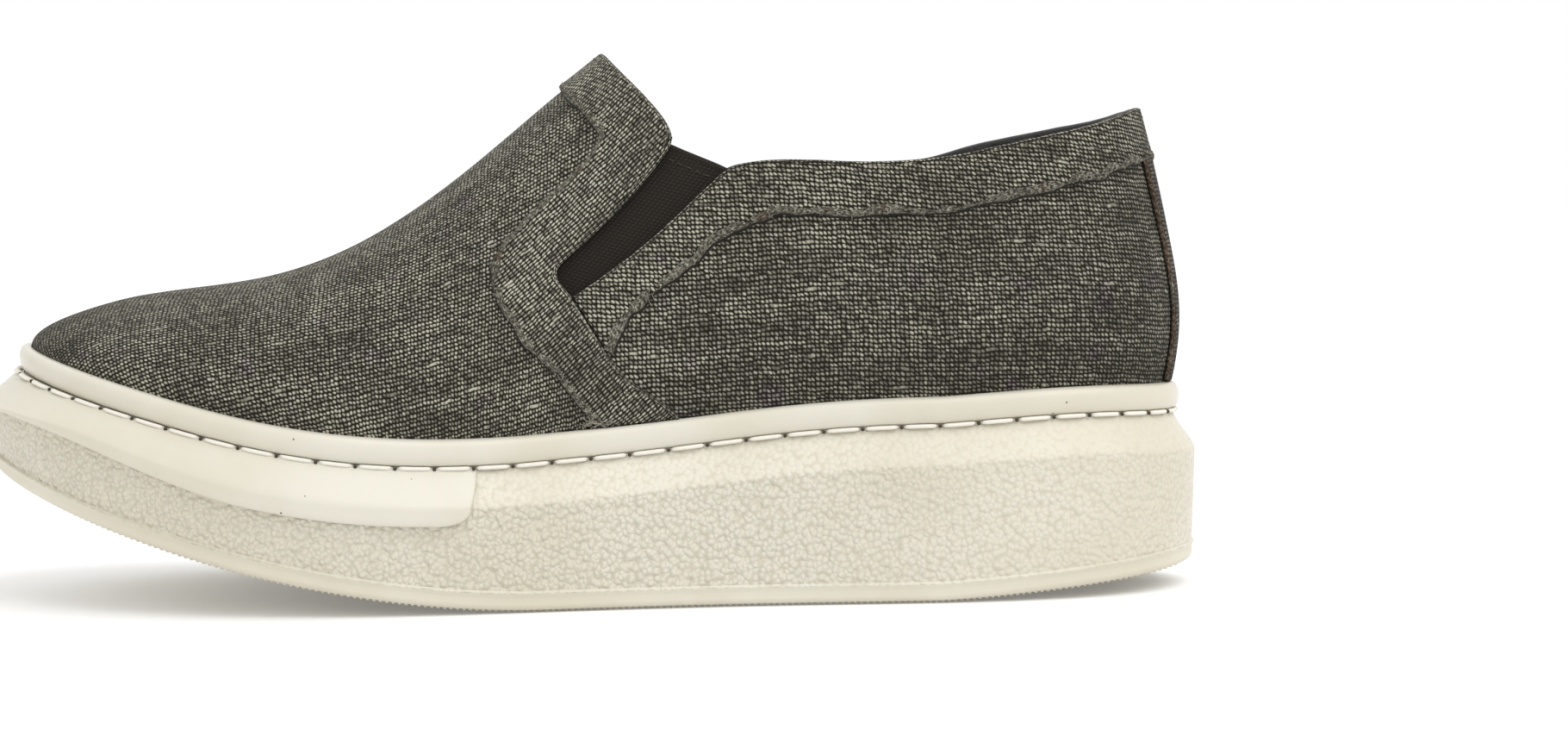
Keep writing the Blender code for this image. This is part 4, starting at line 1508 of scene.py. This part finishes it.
def canvas_material(name, pitch, lean, light, height_tone=(1.0, 1.0), fluff=0.0):
    """Washed canvas: leaning oval knuckles of light thread in rows, dark between, with slubs and patches.

    The pair after the thread colour scales the light threads' strength low down and high up."""
    net = Net(name)
    u, v = net.weave()
    column = u / pitch[0] + (net.noise(net.vector(u, v), 0.25, 1.0) + -0.5) * WANDER
    row = v / pitch[1] + (net.noise(net.vector(v, u, 7.0), 0.25, 1.0) + -0.5) * WANDER
    column_number = net.math("FLOOR", column)
    row_number = net.math("FLOOR", row)
    knuckle, jitter_u, jitter_v = [net.cell(column_number, row_number, draw) for draw in (1.0, 2.0, 3.0)]
    side_u = net.math("FRACT", column) + (jitter_u * JITTER + -0.60)
    side_v = net.math("FRACT", row) + (jitter_v * JITTER + -0.60)
    cosine, sine = math.cos(math.radians(lean)), math.sin(math.radians(lean))
    long = (side_u * cosine + side_v * sine) / (jitter_v * 0.12 + KNUCKLE_LONG)
    wide = (side_v * cosine + side_u * -sine) / (jitter_u * 0.10 + KNUCKLE_WIDE)
    oval = net.step(net.math("SQRT", long * long + wide * wide), *OVAL_EDGE)
    slub = net.noise(net.vector(u * (1 / SLUB_LENGTH), row_number * 7.31), 1.0, 1.0)
    slub_up = net.noise(net.vector(v * (1 / SLUB_LENGTH), column_number * 5.17), 1.0, 1.0)
    dash = net.noise(net.vector(u * (1 / DASH_LENGTH), row_number * 3.77), 1.0, 0.0)
    thick = net.step(dash, *DASHES)
    run = thick * net.step(net.math("ABSOLUTE", side_v), *DASH_EDGE)
    dot = net.math("MAXIMUM", oval, run * 0.9)
    tone = knuckle * 0.80 + 0.28 + net.step(slub, *SLUBS)
    tone = tone + net.step(slub_up, *SLUBS_UP) + thick * 0.15
    patch = net.noise(net.vector(u * (1 / PATCH_SIZE[0]), v * (1 / PATCH_SIZE[1])), 1.0, 3.0, 0.6)
    east, _, height = net.parts(net.place())
    # Tone by place: lighter in front and darker behind, darker low on the rear half, at the toe's tip and
    # at the back of the heel.
    tone = tone * net.step(patch, *PATCHES) * net.step(east, *REAR_DARKENING_RUN, 1.05, 0.90)
    low = net.step(height, *LOW_DARKENING_RISE, 1.0, 0.0) * net.step(east, *REAR_DARKENING_RUN)
    tone = tone * (low * LOW_DARKENING + 1.0)
    for place, fade in ((east, TOE_TIP_DARKENING), (east, HEEL_END_DARKENING), (height, (*HIGH_TONE_RISE, *height_tone))):
        tone = tone * net.step(place, *fade)
    share = net.math("MINIMUM", dot * tone, 1.0)
    plum = net.step(net.noise(net.vector(u, v, 31.0), 0.11, 1.0), *PLUM)
    thread = net.mix(plum, light, scaled(light, *COOL_SHIFT))
    ground = net.mix(plum, DARK_THREAD, scaled(DARK_THREAD, *GROUND_SHIFT))
    fuzz = net.noise(net.vector(u, v), 3.1, 2.0)
    relief = dot * (knuckle * 0.25 + 0.75) + thick * 0.2 + fuzz * (0.25 + fluff)
    sockets = {"Specular_IOR_Level": 0.12, "Sheen_Weight": 0.03, "Sheen_Roughness": 0.5}
    return net.finish(net.mix(share, ground, thread), 0.92, net.bump(relief, 0.00026, 0.8), **sockets)


def edge_material(name, browning):
    """The turned edge of a band: worn threads, browner than the cloth in places."""
    net = Net(name)
    u, v = net.weave()
    twist = net.wave((u + v * 0.45) * 1.05 + net.noise(net.vector(u, v), 0.5, 2.0))
    grain = net.noise(net.vector(u, v * 1.6), 1.5, 3.0, 0.7)
    brown = net.noise(net.vector(u, 5.0), 0.11, 2.0)
    worn = net.noise(net.vector(u, 9.0), 0.25, 2.0)
    light = net.mix(net.step(brown, *browning), (0.42, 0.40, 0.33), (0.25, 0.17, 0.12))
    share = net.step(grain, 0.38, 0.66) * (twist * 0.65 + 0.35) * net.step(worn, 0.25, 0.65, 0.55, 1.15)
    normal = net.bump(grain + twist * 0.5, 0.0004, 0.9)
    return net.finish(net.mix(share, (0.022, 0.018, 0.012), light), 0.95, normal, Specular_IOR_Level=0.12)


def elastic_material():
    """Dark ribbed elastic, with fine ribs along its stretch and finer threads across."""
    net = Net("dark_elastic")
    u, v = net.weave()
    rib = net.wave(v * 2.1)
    cross = net.wave(u * 2.4 + v * 1.05)
    share = (rib * cross * 0.85 + 0.15) * (net.noise(net.vector(u, v), 1.4, 3.0) + 0.3)
    colour = net.mix(share, (0.0050, 0.0040, 0.0028), (0.044, 0.034, 0.025))
    normal = net.bump(rib * 0.6 + cross * 0.4, 0.00018, 0.8)
    return net.finish(colour, 0.85, normal, Specular_IOR_Level=0.2, Sheen_Weight=0.06)


def lining_material():
    net = Net("dark_lining")
    place = net.place()
    grain = net.noise(place, 1.6, 3.0)
    share = grain * net.step(net.noise(place, 0.05, 2.0), 0.3, 0.7, 0.6, 1.1)
    colour = net.mix(share, (0.012, 0.012, 0.013), (0.065, 0.062, 0.06))
    return net.finish(colour, 0.9, net.bump(grain, 0.0002, 0.6), Specular_IOR_Level=0.2, Sheen_Weight=0.2)


# The rubber: its colours, its specks and where its pebbles weaken, in millimetres
CREAM = (0.675, 0.640, 0.540)
SMOOTH_CREAM = (0.655, 0.626, 0.538)
CREAM_SHADE = (0.93, 0.915, 0.87)
SPECK_CELL = 6.0
SPECK_SHARE = 0.05
SPECK_COLOUR = (0.10, 0.08, 0.06)
PEBBLE_SIZE = 1.3
PEBBLE_FADE = (30.0, 120.0, 1.0, 0.6)
PEBBLE_LEVEL = (0.12, 0.45, 1.0, 0.22)


def pebbles(net, place, size):
    """The height of small pebbles of a size in mm, and how strong they are at each place."""
    spread = net.noise(place, 0.35, 2.0)
    warp = net.vector(spread, spread * -0.8, spread)
    far = net.dots(net.node("VectorMath", {0: place, 1: warp}, operation="ADD"), size)
    bumps = (far * far * -1.5 + 1.0) * 0.5 + net.step(far, 0.85, 0.0, 0.0, 0.5)
    level = net.parts(net.node("NewGeometry", {}, "Normal"))[2]
    return bumps, net.step(level, *PEBBLE_LEVEL) * net.step(net.parts(place)[0], *PEBBLE_FADE)


def rubber_material(name, pebble, depth, roughness, coat, colour=CREAM, specks=False):
    """Cream rubber: smooth, or pebbled with small domes of the given size in mm and painted shade in the
    valleys between them, or with dark specks.
    """
    net = Net(name)
    place = net.place()
    shade = scaled(colour, *CREAM_SHADE)
    tint = net.mix(net.step(net.noise(place, 0.03, 3.0), 0.35, 0.65), shade, colour)
    fine = net.noise(place, 0.9, 3.0, 0.6)
    if pebble:
        bumps, strength = pebbles(net, place, pebble)
        normal = net.bump(bumps * strength, depth)
        # Painted shade: the valleys between the pebbles are coloured darker.
        tint = net.mix(net.step(bumps, 0.0, 0.5), scaled(shade, 0.96), tint)
    else:
        normal = net.bump(fine, depth, 0.35)
    if specks:
        dark = net.step(net.dots(place, SPECK_CELL), SPECK_SHARE, 0.6 * SPECK_SHARE)
        tint = net.mix(dark, tint, SPECK_COLOUR)
    return net.finish(
        tint,
        net.step(fine, 0.3, 0.7, roughness - 0.06, roughness + 0.06),
        normal,
        Specular_IOR_Level=0.45,
        Coat_Weight=coat,
        Coat_Roughness=0.22,
        Subsurface_Weight=0.06,
        Subsurface_Scale=0.002,
    )


def plain_material(name, colour, roughness):
    net = Net(name)
    grain = net.noise(net.place(), 2.0, 2.0)
    tint = net.mix(grain, scaled(colour, 0.82), colour)
    return net.finish(tint, roughness, net.bump(grain, 0.0001, 0.5))


def build_materials():
    return {
        "canvas": canvas_material("washed_canvas", CANVAS_PITCH, 33, LIGHT_THREAD, (0.95, 0.99)),
        "facing": canvas_material("facing_canvas", FACING_PITCH, 14, FACING_THREAD, (0.82, 1.12), 0.05),
        "binding": canvas_material("binding_canvas", BINDING_PITCH, 32, LIGHT_THREAD, (1.14, 1.20), 0.05),
        "strip": canvas_material("strip_canvas", BINDING_PITCH, 34, STRIP_THREAD),
        "edge": edge_material("canvas_edge", (0.56, 0.74)),
        "strip_edge": edge_material("strip_edge", (0.30, 0.52)),
        # The fold_shadow material colours the dark tubes of painted shadow under the turned edges.
        "gap": plain_material("fold_shadow", (0.012, 0.010, 0.007), 0.95),
        "fray": plain_material("loose_thread", (0.33, 0.30, 0.25), 0.9),
        "seam": plain_material("seam_thread", (0.060, 0.050, 0.036), 0.85),
        "elastic": elastic_material(),
        "lining": lining_material(),
        "wall": rubber_material("pebbled_rubber", PEBBLE_SIZE, 0.00060, 0.38, 0.10),
        "tread": rubber_material("tread_rubber", 0, 0.00012, 0.5, 0.05),
        "bead": rubber_material("smooth_rubber", 0, 0.00004, 0.36, 0.25, SMOOTH_CREAM, specks=True),
        "thread": plain_material("groove_thread", (0.86, 0.83, 0.74), 0.6),
        # The hole material is painted shade for the stitch holes.
        "hole": plain_material("painted_hole_shade", (0.06, 0.045, 0.03), 0.9),
    }


# The stage, and its lights: the direction that each shines from, its strength and its softness in degrees
FLOOR_SIZE = 6.0
FLOOR_DROP = 0.0001
FLOOR_WHITE = (0.86, 0.86, 0.86)
FLOOR_GLOW = 0.11
WORLD_LIGHT = 1.0
KEY_SUN = ((0.42, -0.36, 0.83), 1.10, 50.0)
FILL_SUN = ((-0.5, -0.8, 0.3), 0.03, 60.0)


def build_stage():
    half = FLOOR_SIZE / 2
    corners = [(-half, -half), (half, -half), (half, half), (-half, half)]
    points = [(x, y, -FLOOR_DROP) for x, y in corners]
    net = Net("pale_floor")
    white = net.finish(FLOOR_WHITE, 0.9, Emission_Color=(1.0, 1.0, 1.0, 1.0), Emission_Strength=FLOOR_GLOW)
    floor = mesh_object("floor", points, [(0, 1, 2, 3)], [white], smooth=False, closed=False)
    world = bpy.data.worlds.new("studio")
    world.use_nodes = True
    world.node_tree.nodes["Background"].inputs["Color"].default_value = (1.0, 1.0, 1.0, 1.0)
    world.node_tree.nodes["Background"].inputs["Strength"].default_value = WORLD_LIGHT
    bpy.context.scene.world = world
    bpy.context.scene.view_settings.view_transform = "Standard"


def sun_light(name, direction, strength, softness):
    """A wide soft sun, shining from a direction."""
    light = bpy.data.lights.new(name, "SUN")
    light.energy = strength
    light.angle = math.radians(softness)
    made = bpy.data.objects.new(name, light)
    made.rotation_euler = Vector(direction).to_track_quat("Z", "Y").to_euler()
    bpy.context.scene.collection.objects.link(made)


def build_lights():
    sun_light("key", *KEY_SUN)
    sun_light("fill", *FILL_SUN)


def build_camera():
    """The photograph's camera: a long lens a little above the floor, rolled slightly."""
    camera = bpy.data.objects.new("camera", bpy.data.cameras.new("camera"))
    forward = Vector((0.0, math.cos(CAMERA_RISE), -math.sin(CAMERA_RISE)))
    up = Vector((0.0, math.sin(CAMERA_RISE), math.cos(CAMERA_RISE)))
    right = Vector((1.0, 0.0, 0.0))
    cosine, sine = math.cos(CAMERA_ROLL), math.sin(CAMERA_ROLL)
    axes = Matrix((right * cosine - up * sine, right * sine + up * cosine, -forward)).transposed()
    camera.matrix_world = Matrix.Translation(CAMERA_AIM - forward * CAMERA_DISTANCE) @ axes.to_4x4()
    camera.data.sensor_width = SENSOR_MM
    camera.data.lens = CAMERA_FOCUS_PX * SENSOR_MM / PHOTO_WIDTH
    camera.data.clip_start = 0.01
    bpy.context.scene.collection.objects.link(camera)
    bpy.context.scene.camera = camera


def main():
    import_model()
    materials = build_materials()
    form = Form()
    caster = Caster(form)
    slots = (
        (build_upper(form, materials), "canvas"),
        (build_facing(form, caster, materials), "canvas"),
        (build_binding(form, caster, materials), "canvas"),
        (build_heel_strip(form, caster, materials), "canvas"),
        (build_gores(form, caster, materials), "elastic"),
        (build_insole(materials), "lining"),
        (build_midsole(materials), "rubber"),
        (build_outsole(materials), "rubber"),
        (build_welt(materials), "gloss_rubber"),
        (build_bumper(materials), "gloss_rubber"),
        (build_stitches(materials), "gloss_rubber"),
    )
    for pieces, slot in slots:
        for piece in pieces:
            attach(piece, "root")
    build_stage()
    build_lights()
    build_camera()


main()
